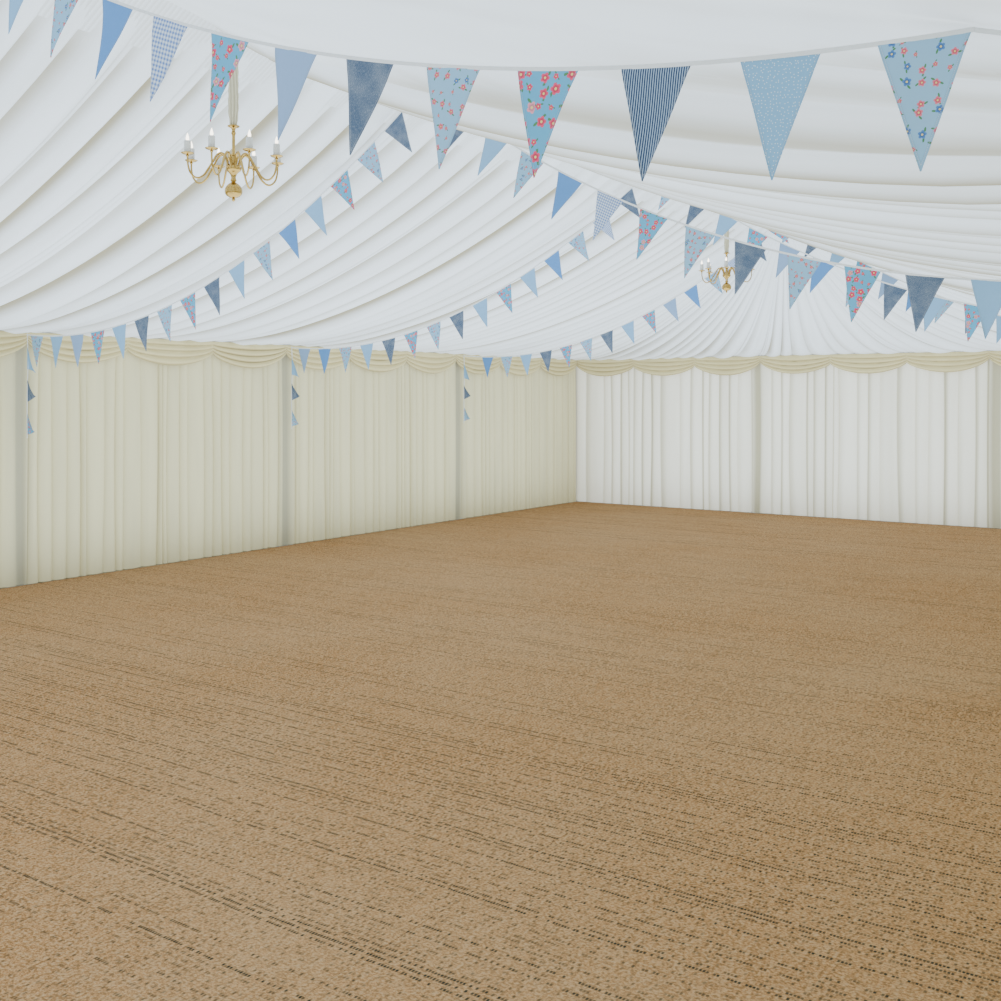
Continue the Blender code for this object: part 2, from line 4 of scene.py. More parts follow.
import bpy
import numpy as np
from bpy.props import FloatProperty, FloatVectorProperty, IntProperty, PointerProperty
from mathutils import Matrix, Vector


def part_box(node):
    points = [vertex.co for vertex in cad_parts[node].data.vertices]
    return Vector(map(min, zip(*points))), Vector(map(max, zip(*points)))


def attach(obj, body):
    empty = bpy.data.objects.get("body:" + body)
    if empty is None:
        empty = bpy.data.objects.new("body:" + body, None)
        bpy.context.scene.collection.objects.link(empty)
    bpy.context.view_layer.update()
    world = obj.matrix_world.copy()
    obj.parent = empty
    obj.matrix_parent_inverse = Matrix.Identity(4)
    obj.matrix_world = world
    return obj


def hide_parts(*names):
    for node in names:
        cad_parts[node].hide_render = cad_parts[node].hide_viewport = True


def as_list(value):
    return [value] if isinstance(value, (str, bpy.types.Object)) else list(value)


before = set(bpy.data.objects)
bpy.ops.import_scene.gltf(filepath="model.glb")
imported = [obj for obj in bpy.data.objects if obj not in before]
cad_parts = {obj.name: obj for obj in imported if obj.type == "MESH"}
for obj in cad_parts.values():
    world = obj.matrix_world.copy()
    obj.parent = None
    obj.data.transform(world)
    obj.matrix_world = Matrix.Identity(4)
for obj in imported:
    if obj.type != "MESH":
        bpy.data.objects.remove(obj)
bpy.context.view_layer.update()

bl_info = {
    "name": "Marquee dressing",
    "version": (1, 0, 0),
    "blender": (4, 5, 0),
    "location": "View3D > Sidebar > Marquee",
    "description": "Linings, curtains, swags, bunting, lights and covers for a frame marquee",
    "category": "Object",
}

# Places that the frame settles, in metres
LINING_X, LINING_Y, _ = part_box("roof_lining_right")[1]
BEAM_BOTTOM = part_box("ridge_beam")[0].z
HALF_RIDGE = 4.5
BAY = 3.0
PORTALS = (-4.5, -1.5, 1.5, 4.5)
POSTS = (-1.5, 1.5)
FOOT_X = 4.405
END_Y = 7.5
RIDGE_Z = 3.50
EDGE_Z = 2.13
SAG = 0.30
EASE = 0.80
# How thick each cloth is built
LINING_THICK = 0.002
HEADING_THICK = 0.0015
CURTAIN_THICK = 0.0016
SWAG_THICK = 0.0015
PENNANT_THICK = 0.0009
TAPE_THICK = 0.0022
SLEEVE_THICK = 0.0012
COVER_THICK = 0.0012
MILLIMETRE = 0.001
UP = np.array([0.0, 0.0, 1.0])
SIDES = {"left": (-1, 0), "right": (1, 0), "far": (0, 1), "near": (0, -1)}
WALLS = {"left": (-1, 0), "right": (1, 0), "far": (0, 1), "near_left": (0, -1), "near_right": (0, -1)}
EAVES = {
    (-1, 0): "eave_purlin_left",
    (1, 0): "eave_purlin_right",
    (0, 1): "end_frame_far",
    (0, -1): "end_frame_near",
}


def length_setting(name, description, default):
    return FloatProperty(name=name, description=description, default=default, unit="LENGTH")


def share_setting(name, description, default):
    return FloatProperty(name=name, description=description, default=default, subtype="FACTOR")


def colour_setting(name, description, default):
    return FloatVectorProperty(name=name, description=description, default=default, subtype="COLOR")


# ---------------------------------------------------------------- meshes
def smooth(low, high, value):
    share = np.clip((np.asarray(value, float) - low) / (high - low), 0.0, 1.0)
    return share * share * (3 - 2 * share)


def grid(*values):
    """Points or uv from numbers that vary by row, by column or by both."""
    return np.stack(np.broadcast_arrays(*values), axis=-1)


def sloped(side, place, share, z, run):
    """Points on one slope of the roof: place along its eaves, share of the way down to them."""
    if side[0]:
        inside = np.clip(place, -HALF_RIDGE, HALF_RIDGE)
        return grid(side[0] * run * share, inside + (place - inside) * share, z)
    return grid(place * share, side[1] * (HALF_RIDGE + run * share), z)


def fold_columns(edges, stops, rng, wander):
    """For each column of points: its place, its share of a fold, the fold it is in, and its wander."""
    count = len(edges) - 1
    place = np.append(edges[:-1, None] + np.diff(edges)[:, None] * stops, edges[-1])
    share = np.append(np.tile(stops, count), 1.0)
    fold = np.append(np.repeat(np.arange(count), len(stops)), count - 1)
    drift = rng.uniform(-wander, wander, (2, count + 1))
    drift[:, [0, -1]] = 0.0
    return place, share, fold, drift[:, fold] * (1 - share) + drift[:, fold + 1] * share


def path_length(points):
    return float(np.linalg.norm(np.diff(points, axis=0), axis=1).sum())


def outward(points, corners, starts, sizes):
    """The corners turned round where the faces together enclose a negative volume."""
    volume = 0.0
    for size in np.unique(sizes):
        rows = corners[starts[sizes == size][:, None] + np.arange(size)]
        for k in range(1, size - 1):
            cross = np.cross(points[rows[:, k]], points[rows[:, k + 1]])
            volume += float((points[rows[:, 0]] * cross).sum())
    if volume >= 0:
        return corners
    turned = corners.copy()
    for start, size in zip(starts, sizes):
        turned[start:start + size] = corners[start:start + size][::-1]
    return turned


def new_piece(name, points, faces, uv=None, marks=(), materials=(), slots=None, crease=50):
    """A mesh object in place; marks are named numbers for each point."""
    mesh = bpy.data.meshes.new(name)
    points = np.asarray(points, float)
    sizes = np.array([len(face) for face in faces], np.int32)
    starts = (np.cumsum(sizes) - sizes).astype(np.int32)
    corners = outward(points, np.concatenate(faces).astype(np.int32), starts, sizes)
    mesh.vertices.add(len(points))
    mesh.vertices.foreach_set("co", points.ravel())
    mesh.loops.add(len(corners))
    mesh.loops.foreach_set("vertex_index", corners)
    mesh.polygons.add(len(sizes))
    mesh.polygons.foreach_set("loop_start", starts)
    mesh.polygons.foreach_set("loop_total", sizes)
    if slots is not None:
        mesh.polygons.foreach_set("material_index", np.asarray(slots, np.int32))
    mesh.update(calc_edges=True)
    if uv is not None:
        mesh.uv_layers.new(name="UVMap").data.foreach_set("uv", uv.reshape(-1, 2)[corners].ravel())
    for mark, values in dict(marks).items():
        mesh.attributes.new(mark, "FLOAT", "POINT").data.foreach_set("value", values)
    mesh.polygons.foreach_set("use_smooth", np.ones(len(sizes), bool))
    mesh.set_sharp_from_angle(angle=math.radians(crease))
    for material in materials:
        mesh.materials.append(material)
    made = bpy.data.objects.new(name, mesh)
    bpy.context.scene.collection.objects.link(made)
    return made


def shell_data(front, back, uv, wrap=False):
    """Points, quads and uv of a closed cloth from its two surfaces, rows by columns."""
    rows, columns = front.shape[:2]
    other = rows * columns
    index = np.arange(other).reshape(rows, columns)
    if wrap:
        index = np.concatenate([index, index[:, :1]], axis=1)
    face = grid(index[:-1, :-1], index[:-1, 1:], index[1:, 1:], index[1:, :-1]).reshape(-1, 4)
    quads = [face, face[:, ::-1] + other]
    rims = [index[0], index[-1][::-1]]
    if not wrap:
        rims += [index[:, 0][::-1], index[:, -1]]
    for rim in rims:
        quads.append(grid(rim[1:], rim[:-1], rim[:-1] + other, rim[1:] + other))
    points = np.concatenate([front.reshape(-1, 3), back.reshape(-1, 3)])
    return points, np.concatenate(quads), np.tile(uv.reshape(-1, 2), (2, 1))


def joined(name, parts, materials, edges=None):
    """One piece from several (points, quads, uv, slot), with each one's distances from its edge."""
    counts = np.cumsum([0] + [len(points) for points, *_ in parts])
    return new_piece(
        name,
        np.concatenate([points for points, *_ in parts]),
        np.concatenate([quads + count for (_, quads, _, _), count in zip(parts, counts)]),
        np.concatenate([uv for _, _, uv, _ in parts]),
        {"edge": np.concatenate(edges)} if edges else (),
        materials,
        np.concatenate([np.full(len(quads), slot) for _, quads, _, slot in parts]),
    )


def turned_piece(name, profile, sides, material, place):
    """A closed turned solid from (radius, height) in millimetres, with poles where the radius is nought."""
    points, rings, faces = [], [], []
    for radius, height in np.asarray(profile, float) * MILLIMETRE:
        count = sides if radius > 1e-6 else 1
        rings.append([len(points) + k % count for k in range(sides + 1)])
        angles = math.tau * np.arange(count) / sides
        points += [(radius * math.cos(t), radius * math.sin(t), height) for t in angles]
    for upper, lower in zip(rings, rings[1:]):
        for k in range(sides):
            face = list(dict.fromkeys((upper[k], lower[k], lower[k + 1], upper[k + 1])))
            if len(face) > 2:
                faces.append(face)
    return new_piece(name, np.asarray(points) + place, faces, materials=[material], crease=38)


def cloth_area(piece):
    areas = np.empty(len(piece.data.polygons))
    piece.data.polygons.foreach_get("area", areas)
    return float(areas.sum()) / 2


def fitted(piece, slot, *nodes):
    """Hang a finished piece on the frame, in the place of the solids it stands for."""
    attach(piece, "root")
    if nodes:
        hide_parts(*nodes)


def sheet_of(piece, width, length, held, rests_on):
    """Reckon the area of a cloth, capped at the size it was cut to; the result is not used."""
    area = min(cloth_area(piece), width * length)
    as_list(rests_on)


def hung(
    name, front, through, uv, fold, material, slot, nodes, cut, held, rests_on, wrap=False, crease=50
):
    """A closed cloth in its place; through is the step from its seen face to its other one."""
    points, quads, both = shell_data(front, front + through, uv, wrap)
    # The fold mark: painted shade for the hung cloths; on the covers it darkens their laps, seams, hems and
    # foot.
    marks = {"fold": np.tile(np.broadcast_to(fold, front.shape[:2]).ravel(), 2)}
    piece = new_piece(name, points, quads, both, marks, [material], crease=crease)
    fitted(piece, slot, *nodes)
    sheet_of(piece, *cut, held, rests_on)


def wall_of(node, side):
    """Start and end of an upright box along its wall, then its faces towards and away from the room."""
    low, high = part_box(node)
    along, across = (1, 0) if side[0] else (0, 1)
    inner, outer = (low, high) if sum(side) > 0 else (high, low)
    return low[along], high[along], inner[across], outer[across], low.z, high.z


def upright(side, along, across, height):
    """Points from their places along a wall, across it and up."""
    return grid(across, along, height) if side[0] else grid(along, across, height)


# ---------------------------------------------------------------- finishes
def operator(operation):
    return lambda self, other: self.math(operation, other)


class Value:
    """A number, colour or vector that varies over a surface, or over the copies in a tree."""

    def __init__(self, nodes, socket):
        self.nodes, self.socket = nodes, socket

    def math(self, operation, *others):
        return self.nodes.math(operation, self, *others)

    def __rsub__(self, other):
        return self.nodes.math("SUBTRACT", other, self)

    __add__ = __radd__ = operator("ADD")
    __sub__ = operator("SUBTRACT")
    __mul__ = __rmul__ = operator("MULTIPLY")
    __truediv__ = operator("DIVIDE")
    __lt__ = operator("LESS_THAN")
    __gt__ = operator("GREATER_THAN")


class Nodes:
    """A node tree that is built by writing expressions."""

    def __init__(self, tree):
        self.tree = tree

    def node(self, kind, settings=(), inputs=(), output=0):
        made = self.tree.nodes.new(kind)
        for name, value in dict(settings).items():
            setattr(made, name, value)
        for name, value in dict(inputs).items():
            if isinstance(value, Value):
                self.tree.links.new(value.socket, made.inputs[name])
            else:
                made.inputs[name].default_value = value
        return Value(self, made.outputs[output])

    def math(self, operation, *values):
        return self.node("ShaderNodeMath", {"operation": operation}, enumerate(values))

    def vector(self, operation, first, second, output=0):
        return self.node("ShaderNodeVectorMath", {"operation": operation}, {0: first, 1: second}, output)

    def coordinates(self, kind):
        return self.node("ShaderNodeTexCoord", output=kind)


class Finish(Nodes):
    """One material, built as expressions that end on its Principled shader."""

    def __init__(self, name, **constants):
        self.material = bpy.data.materials.new(name)
        self.material.use_nodes = True
        self.material.cycles.emission_sampling = "NONE"
        super().__init__(self.material.node_tree)
        self.shader = self.tree.nodes["Principled BSDF"]
        for socket, value in constants.items():
            self.set(socket.title(), value)

    def set(self, socket, value):
        target = self.shader.inputs[socket]
        if isinstance(value, Value):
            self.tree.links.new(value.socket, target)
        elif hasattr(value, "__len__"):
            target.default_value = (*value[:3], 1.0)
        else:
            target.default_value = value

    def mix(self, factor, first, second):
        first, second = (
            value if isinstance(value, Value) else (*value[:3], 1.0) for value in (first, second)
        )
        return self.node("ShaderNodeMix", {"data_type": "RGBA"}, {0: factor, 6: first, 7: second}, 2)

    def layered(self, tint, *layers):
        """A colour with others laid over it in turn, each as (how much of it, colour)."""
        for factor, colour in layers:
            tint = self.mix(factor, tint, colour)
        return tint

    def mark(self, name):
        return self.node("ShaderNodeAttribute", {"attribute_name": name}, output="Fac")

    def parts(self, vector):
        split = self.node("ShaderNodeSeparateXYZ", inputs={0: vector})
        return [Value(self, socket) for socket in split.socket.node.outputs]

    def noise(self, vector, scale, detail, stretch=(1.0, 1.0, 1.0)):
        spread = self.vector("MULTIPLY", vector, stretch)
        return self.node("ShaderNodeTexNoise", (), {"Vector": spread, "Scale": scale, "Detail": detail})

    def between(self, value, low, high):
        return self.node("ShaderNodeMapRange", {"clamp": True}, {0: value, 1: low, 2: high})

    def relief(self, height, distance=1.0, strength=1.0):
        self.set("Normal", self.node(
            "ShaderNodeBump", (), {"Height": height, "Distance": distance, "Strength": strength}
        ))


def dimmed(colour, share):
    return [c * share for c in colour]


def weave(finish, vector, pitch):
    """Height of a plain weave, from 0 to 1."""
    along, across, _ = finish.parts(vector)
    turn = math.tau / pitch
    return ((along * turn).math("SINE") * (across * turn).math("SINE")) * 0.5 + 0.5


def hung_cloth(name, colour, shade, glow, folds=7.0):
    """Matt cloth with painted shade in its folds, and a painted glow that stands in for the little daylight
    that comes through it.
    """
    finish = Finish(name, roughness=0.9)
    finish.set("Specular IOR Level", 0.0)
    # The fold mark carries painted shade: in the folds the base colour is mixed towards the shade colour.
    fold = finish.mark("fold")
    drift = finish.noise(finish.coordinates("UV"), 1.3, 2.0, (folds, 0.6, 1.0))
    # Long darker streaks from the drift noise, mixed a quarter of the way towards the shade colour.
    streaks = finish.between(drift, 0.45, 0.8) * 0.25
    finish.set("Base Color", finish.layered(colour, (fold, shade), (streaks, shade)))
    # Painted glow: the emission stands in for daylight through the cloth, and is dimmed in the folds as
    # painted shade.
    finish.set("Emission Color", finish.mix(fold, colour, dimmed(shade, 0.8)))
    finish.set("Emission Strength", glow)
    return finish.material


# ---------------------------------------------------------------- roof lining
LOBE_STOPS = np.array([0.0, 0.025, 0.07, 0.14, 0.24, 0.37, 0.52, 0.67, 0.80, 0.90, 0.96, 0.99])
TAUT_LOBES = (0.3, 0.55)


def lining_z(share, sag):
    return RIDGE_Z + (EDGE_Z - RIDGE_Z) * share - 4 * sag * share * (1 - share)


def lobe_edges(start, end, rng, wide, narrow_chance=0.38):
    """Places of the creases between two fixed ones: broad lobes with narrow ones between them."""
    edges = []
    place = start
    while place < end:
        edges.append(place)
        place += rng.uniform(*wide)
        for _ in range(2):
            if rng.random() >= narrow_chance:
                break
            edges.append(place)
            place += rng.uniform(0.22, 0.42) * wide[0]
    edges = np.asarray(edges + [place])
    return start + (edges - start) * (end - start) / (edges[-1] - start)


def lobe_profile(share, lean):
    """Drop across a lobe, 0 to 1. Lean moves its lowest line towards the next crease or back."""
    share = np.clip(share, 0, 1) ** (1 + 0.7 * max(lean, 0))
    share = 1 - (1 - share) ** (1 + 0.7 * max(-lean, 0))
    return np.sin(np.pi * share) ** 0.75


def lobe_shade(share, lean):
    """Shade across a lobe: soft after a crease, or gathering towards its lowest line for lean < 0."""
    share = np.clip(share, 0, 1)
    if lean < 0:
        return smooth(0.04, 0.36, share) * (1 - 0.5 * smooth(0.6, 1.0, share))
    soft = (1 - smooth(0.0, 0.46, share)) ** 1.1
    sharp = smooth(0.93, 1.0, share) * (0.35 if lean else 1.0)
    return np.maximum(soft * (1.0 if lean else 0.75), sharp)


def lined_face(name, edges, rng, settings, material):
    """One slope of the lining, on a long side or a hip end."""
    side = SIDES[name]
    lean = -side[0]
    widths = np.diff(edges)
    depths = rng.uniform(0.45, 1.2, len(widths))
    place, share, lobe, drift = fold_columns(edges, LOBE_STOPS, rng, 0.02)
    width, depth = widths[lobe], depths[lobe]
    depth[-1] = 1.0
    first = 0.0075 if side[0] else 0.0102
    s = np.concatenate([[0.0, 0.012, 0.03], np.linspace(0.06, 1.0, 22)])
    s = (first + (1 - first) * s)[:, None]
    p = place + drift[0] * np.sin(np.pi * s) + drift[1] * np.sin(2 * np.pi * s)
    fan = np.maximum(s, 0.1)
    if side[0]:
        run = LINING_X
        fan = np.where(np.abs(p) > HALF_RIDGE, fan, 1.0)
        sag = SAG * smooth(-HALF_RIDGE, -HALF_RIDGE + EASE, p)
        limit = (0.92 * (1 - s) if side[0] > 0 else 0.02) - HALF_RIDGE
        taut = 1 - smooth(0.0, 0.12, p - limit)
    else:
        run = LINING_Y - HALF_RIDGE
        sag, taut = SAG * (side[1] > 0), float(side[1] < 0)
    slope = (EDGE_Z - RIDGE_Z - 4 * sag * (1 - 2 * s)) / run
    rise = 1 / np.sqrt(1 + slope**2)
    down = grid(side[0] * slope * rise, side[1] * slope * rise, -rise)
    strength = smooth(0.015, 0.14, s) * (1 - 0.55 * smooth(0.80, 1.0, s))
    strength = strength * (1 - taut * (1 - settings.taut_share)) * fan
    drop = settings.lobe_depth * width * depth * lobe_profile(share, lean) * strength
    front = sloped(side, p, s, lining_z(s, sag), run) + down * drop[..., None]
    # Painted shade: the fold mark darkens each lobe from its crease, most where lobes are deep and broad, and
    # hardly at all in the taut bay.
    fold = lobe_shade(share, lean) * depth * np.clip(strength * 1.2, 0, 1)
    fold = np.clip(fold * np.clip(width / 0.12, 0.55, 1.0) * (1 - 0.95 * taut), 0, 1)
    cut = path_length(front[-1]), path_length(front[:, len(place) // 2]) * 1.05
    uv = grid(p, s * math.hypot(run, RIDGE_Z - EDGE_Z) * 1.03)
    hung(
        f"lining_{name}", front, LINING_THICK * UP, uv, fold, material, "ivory_roof_lining",
        [f"roof_lining_{name}"], cut, "stretched", ["ridge_beam", EAVES[side]],
    )


class LiningSettings(bpy.types.PropertyGroup):
    lobe_depth: share_setting("Lobe depth", "Drop of a lobe as a share of its width", 0.26)
    taut_share: share_setting("Taut share", "How much of the lobes is left in the taut bay", 0.008)
    narrowest: length_setting("Narrowest lobe", "Least width of a broad lobe", 0.16)
    widest: length_setting("Widest lobe", "Greatest width of a broad lobe", 0.34)
    header_pitch: length_setting("Header pleat", "Width of one pleat along the ridge", 0.028)
    colour: colour_setting("Cloth", "Colour of the lining", (0.628, 0.688, 0.748))
    # Painted shade: the colour that the lining is mixed towards in its creases.
    shade: colour_setting("Crease", "Colour down in the creases", (0.285, 0.263, 0.190))
    glow: share_setting("Glow", "Daylight that comes through the cloth", 0.835)


class MARQUEE_OT_line_roof(bpy.types.Operator):
    """Line the roof with gathered cloth, in lobes between creases that fan out over the hips"""

    bl_idname = "marquee.line_roof"
    bl_label = "Line the roof"

    def execute(self, context):
        settings = context.scene.marquee_lining
        material = hung_cloth("pleated_voile", settings.colour, settings.shade, settings.glow)
        wide = (settings.narrowest, settings.widest)
        stops = [-LINING_Y, *PORTALS, LINING_Y]
        for name, seed in (("left", 10), ("right", 12), ("far", 32), ("near", 30)):
            rng = np.random.default_rng(seed)
            if SIDES[name][0]:
                runs = [lobe_edges(stops[0], stops[1], rng, TAUT_LOBES, 0.2)]
                runs += [lobe_edges(a, b, rng, wide) for a, b in zip(stops[1:], stops[2:])]
                edges = np.concatenate([run[:-1] for run in runs] + [runs[-1][-1:]])
            else:
                edges = lobe_edges(-LINING_X, LINING_X, rng, wide if name == "far" else TAUT_LOBES)
            lined_face(name, edges, rng, settings, material)
        self.head_ridge(settings, material)
        return {"FINISHED"}

    def head_ridge(self, settings, material):
        """Finely pleated heading that covers the ridge beam from below."""
        reach, pitch = 0.33, settings.header_pitch
        columns = np.linspace(-HALF_RIDGE, HALF_RIDGE, round(2 * HALF_RIDGE / pitch) * 3 + 1)
        pleat = np.sin(math.tau * columns / pitch)
        half = np.array([0.036, 0.07, 0.18, reach])
        across = np.concatenate([-half[::-1], half])[:, None]
        off = np.abs(across)
        sag = SAG * smooth(-HALF_RIDGE, -HALF_RIDGE + EASE, columns)
        flat = np.minimum(lining_z(off / LINING_X, sag), BEAM_BOTTOM) - 0.008
        edge = smooth(reach, reach * 0.9, off)
        z = flat - 0.004 * pleat * (0.35 + 0.65 * smooth(0.04, 0.12, off)) * edge
        # The fold mark paints shade into every pleat of the heading.
        hung(
            "ridge_heading", grid(across, columns, z), HEADING_THICK * UP, grid(columns, across),
            0.35 * (0.5 + 0.5 * pleat), material, "ivory_roof_lining", [], (11.5, 0.70), "gathered",
            ["ridge_beam"],
        )


# ---------------------------------------------------------------- wall curtains
CURTAIN_STOPS = np.array([0.0, 0.07, 0.18, 0.34, 0.5, 0.66, 0.82, 0.93])


class WallSettings(bpy.types.PropertyGroup):
    pitch: length_setting("Pleat", "Width of one pleat", 0.115)
    depth: length_setting("Depth", "Half the depth of a pleat", 0.021)
    colour: colour_setting("Cloth", "Colour of the curtains", (0.671, 0.628, 0.396))
    # Painted back light: the far curtains get a paler copy of the curtain colour and a stronger glow.
    far_colour: colour_setting("Far cloth", "Colour of the back-lit curtains", (0.740, 0.740, 0.662))
    # Painted shade: the colour that the curtains are mixed towards in their folds.
    shade: colour_setting("Fold", "Colour down in the folds", (0.378, 0.361, 0.258))
    glow: share_setting("Glow", "Daylight through the side curtains", 0.232)
    far_glow: share_setting("Far glow", "Daylight through the far curtains", 0.696)


def pleat_edges(start, end, gathers, pitch, rng):
    """Places of the pleats of a curtain, with one at each gather."""
    stops = [start, *[g for g in sorted(gathers) if start + 0.1 < g < end - 0.1], end]
    edges = [start]
    for a, b in zip(stops, stops[1:]):
        steps = rng.uniform(0.35, 1.65, max(2, round((b - a) / pitch)))
        edges += list(a + (b - a) * np.cumsum(steps) / steps.sum())
    return np.asarray(edges)


def pleated_wall(name, gathers, settings, material, seed):
    """A curtain along one wall, with painted shadow at its gathers and painted shade beside its pleats."""
    side = WALLS[name]
    back_lit = name == "far"
    rng = np.random.default_rng(seed)
    start, end, inner, outer, foot, head = wall_of(f"wall_curtain_{name}", side)
    edges = pleat_edges(start, end, gathers, settings.pitch * (1.4 if back_lit else 1.0), rng)
    count = len(edges) - 1
    full = rng.uniform(0.6, 1.0, count)
    place, share, pleat, drift = fold_columns(edges, CURTAIN_STOPS, rng, 0.018)
    z = np.concatenate([np.linspace(head, head - 0.7, 6), np.linspace(head - 1.05, foot, 4)])[:, None]
    t = (head - z) / (head - foot)
    p = place + drift[0] * t + drift[1] * np.sin(math.pi * t)
    bulge = np.sin(math.pi * share) ** 0.7
    depth = settings.depth * full[pleat] * (0.55 + 0.45 * smooth(0.0, 0.35, t))
    near = np.min([np.abs(place - g) for g in gathers], axis=0)
    pinch = 1 - smooth(0.015, 0.07, near)
    level = (1 - pinch) * (2 * bulge - 1) * depth - settings.depth * pinch
    across = (inner + outer) / 2 - sum(side) * level
    tone = rng.uniform(0.25, 1.0, count)[pleat]
    # Painted shade beside each pleat, or across each pleat of the back-lit far curtain, in random strength.
    beside = lobe_shade(share, 1) if back_lit else 0.22 * (1 - bulge) ** 1.1
    veiled = rng.uniform(0.0, 0.20, count)[pleat] * np.sin(math.pi * share)
    # Painted shadow at the gathers by the legs and posts.
    shadow = 0.80 * np.exp(-((near / 0.045) ** 2)) + 0.35 * np.exp(-((near / 0.11) ** 2))
    fold = np.clip(beside * tone + veiled + shadow, 0, 1)
    run = np.concatenate([[0.0], np.cumsum(np.hypot(np.diff(place), np.diff(across[-1])))])
    hung(
        f"curtain_{name}", upright(side, p, across, z), CURTAIN_THICK * np.array([*side, 0]), grid(run, z),
        fold, material, "ivory_wall_curtain", [f"wall_curtain_{name}"],
        (float(run[-1]), head - foot), "hung", [EAVES[side]],
    )


class MARQUEE_OT_hang_curtains(bpy.types.Operator):
    """Hang the pleated wall curtains, with a gather at each leg and post"""

    bl_idname = "marquee.hang_curtains"
    bl_label = "Hang the curtains"

    def execute(self, context):
        settings = context.scene.marquee_walls
        cream = hung_cloth("side_curtain", settings.colour, settings.shade, settings.glow)
        # The far curtains, made paler and brighter than the side ones as painted back light.
        pale = hung_cloth("far_curtain", settings.far_colour, settings.shade, settings.far_glow)
        seeds = (50, 52, 63, 69, 70)
        for (name, side), seed in zip(WALLS.items(), seeds):
            gathers = PORTALS if side[0] else POSTS
            pleated_wall(name, gathers, settings, pale if name == "far" else cream, seed)
        return {"FINISHED"}


# ---------------------------------------------------------------- swag pelmets
class SwagSettings(bpy.types.PropertyGroup):
    rolls: IntProperty(name="Rolls", description="Folds in one swag", default=4)
    belly: length_setting("Belly", "How far a swag hangs down at its middle", 0.262)
    gather: length_setting("Gather", "How far a swag comes down at its gathers", 0.12)
    tie: length_setting("Tie", "How far a swag comes down where it is tied at a leg", 0.085)
    colour: colour_setting("Cloth", "Colour of the swags", (0.705, 0.628, 0.353))
    # Painted shade: the colour that the swags are mixed towards under their rolls.
    shade: colour_setting("Fold", "Colour down in the folds", (0.378, 0.318, 0.168))
    glow: share_setting("Glow", "Light through the swags", 0.162)


def swag_run(length, count, settings, rng, top):
    """A row of swags: places along it, outward and up, with uv and fold marks that paint shade under each
    roll and at the ties.
    """
    pitch = length / count
    stops = np.concatenate([
        [0.0, 0.012, 0.03, 0.055, 0.09], np.linspace(0.14, 0.86, 15), [0.91, 0.945, 0.97, 0.988]
    ])
    v = np.linspace(0, 1, settings.rolls * 9 + 1)[:, None]
    pieces, marks, lines = [], [], []
    for swag in range(count):
        u = stops if swag < count - 1 else np.append(stops, 1.0)
        hang = np.sin(math.pi * u) ** 0.66
        first, last = (settings.tie if (swag + k) % 3 == 0 else settings.gather for k in (0, 1))
        ends = first * (1 - u) + last * u
        depth = ends + (settings.belly * rng.uniform(0.93, 1.0) - ends) * hang
        bend = 0.09 * rng.uniform(-1, 1) * np.sin(math.pi * u)
        rolls = settings.rolls * (v + bend * v * (1 - v) * 4)
        phase = rolls - np.floor(np.minimum(rolls, settings.rolls - 1e-6))
        bulge = np.sin(math.pi * phase**1.3) ** 0.75
        tight = np.sin(math.pi * np.clip(u, 0.0, 1.0)) ** 0.35
        knot = np.exp(-((u / 0.05) ** 2)) + np.exp(-(((1 - u) / 0.05) ** 2))
        out = 0.006 + 0.010 * v * hang + (0.011 + 0.018 * tight) * bulge * (1 - 0.4 * knot) + 0.008 * knot
        sagging = 0.006 * tight * np.sin(math.pi * phase) * (v > 0.02) * (v < 0.99)
        along = pitch * (swag + u)
        pieces.append(grid(along - length / 2, out, top - v**0.92 * depth - sagging * (1 - knot)))
        # Painted shade under each roll and where the rolls gather at the ties.
        under = smooth(0.50, 0.97, phase) * (0.45 + 0.55 * tight) + 0.35 * knot * (0.3 + 0.7 * v)
        marks.append(np.clip(under * rng.uniform(0.75, 1.0), 0, 1))
        lines.append(grid(along * 1.15, v * 0.55))
    return np.concatenate(pieces, 1), np.concatenate(lines, 1), np.concatenate(marks, 1)


class MARQUEE_OT_drape_swags(bpy.types.Operator):
    """Drape the swag pelmets along the heads of the walls"""

    bl_idname = "marquee.drape_swags"
    bl_label = "Drape the swags"

    def execute(self, context):
        settings = context.scene.marquee_swags
        material = hung_cloth("cream_swag", settings.colour, settings.shade, settings.glow, folds=1.0)
        for name, side in SIDES.items():
            count = 15 if side[0] else 9
            rng = np.random.default_rng(80 + count + sum(side))
            start, end, _, wall, _, head = wall_of(f"pelmet_{name}", side)
            places, uv, fold = swag_run(end - start, count, settings, rng, head)
            along, out, z = np.moveaxis(places, -1, 0)
            front = upright(side, along, wall - sum(side) * (out + 0.004), z)
            hung(
                f"swags_{name}", front, SWAG_THICK * np.array([*side, 0]), uv, fold, material, "cream_pelmet",
                [f"pelmet_{name}"], ((end - start) * 1.15, 0.40), "draped", [EAVES[side]], crease=70,
            )
        return {"FINISHED"}


# ---------------------------------------------------------------- bunting
def sewn(finish, vector, tint):
    """Add the hem, darkened with painted shade, with its line of stitches, the weave and the creasing of a
    cotton pennant.
    """
    edge = finish.mark("edge")
    along = finish.parts(vector)[1]
    seam = finish.between((edge - 0.0045).math("ABSOLUTE"), 0.0009, 0.0003)
    dash = ((along / 0.0032).math("FRACT") < 0.62) * seam
    # Painted shade along the doubled hem.
    hem = finish.between(edge, 0.0075, 0.0060)
    finish.set("Base Color", finish.layered(
        tint, (hem * 0.16, (0.10, 0.14, 0.22)), (dash * 0.35, (0.85, 0.87, 0.90))
    ))
    crush = finish.noise(vector, 14.0, 3.0)
    lap = finish.between(edge, 0.0070, 0.0064)
    threads = weave(finish, vector, 0.0009)
    finish.relief(crush * 0.0035 + threads * 0.00008 + lap * 0.0004 - dash * 0.0003, 1.0, 0.8)
    return finish.material


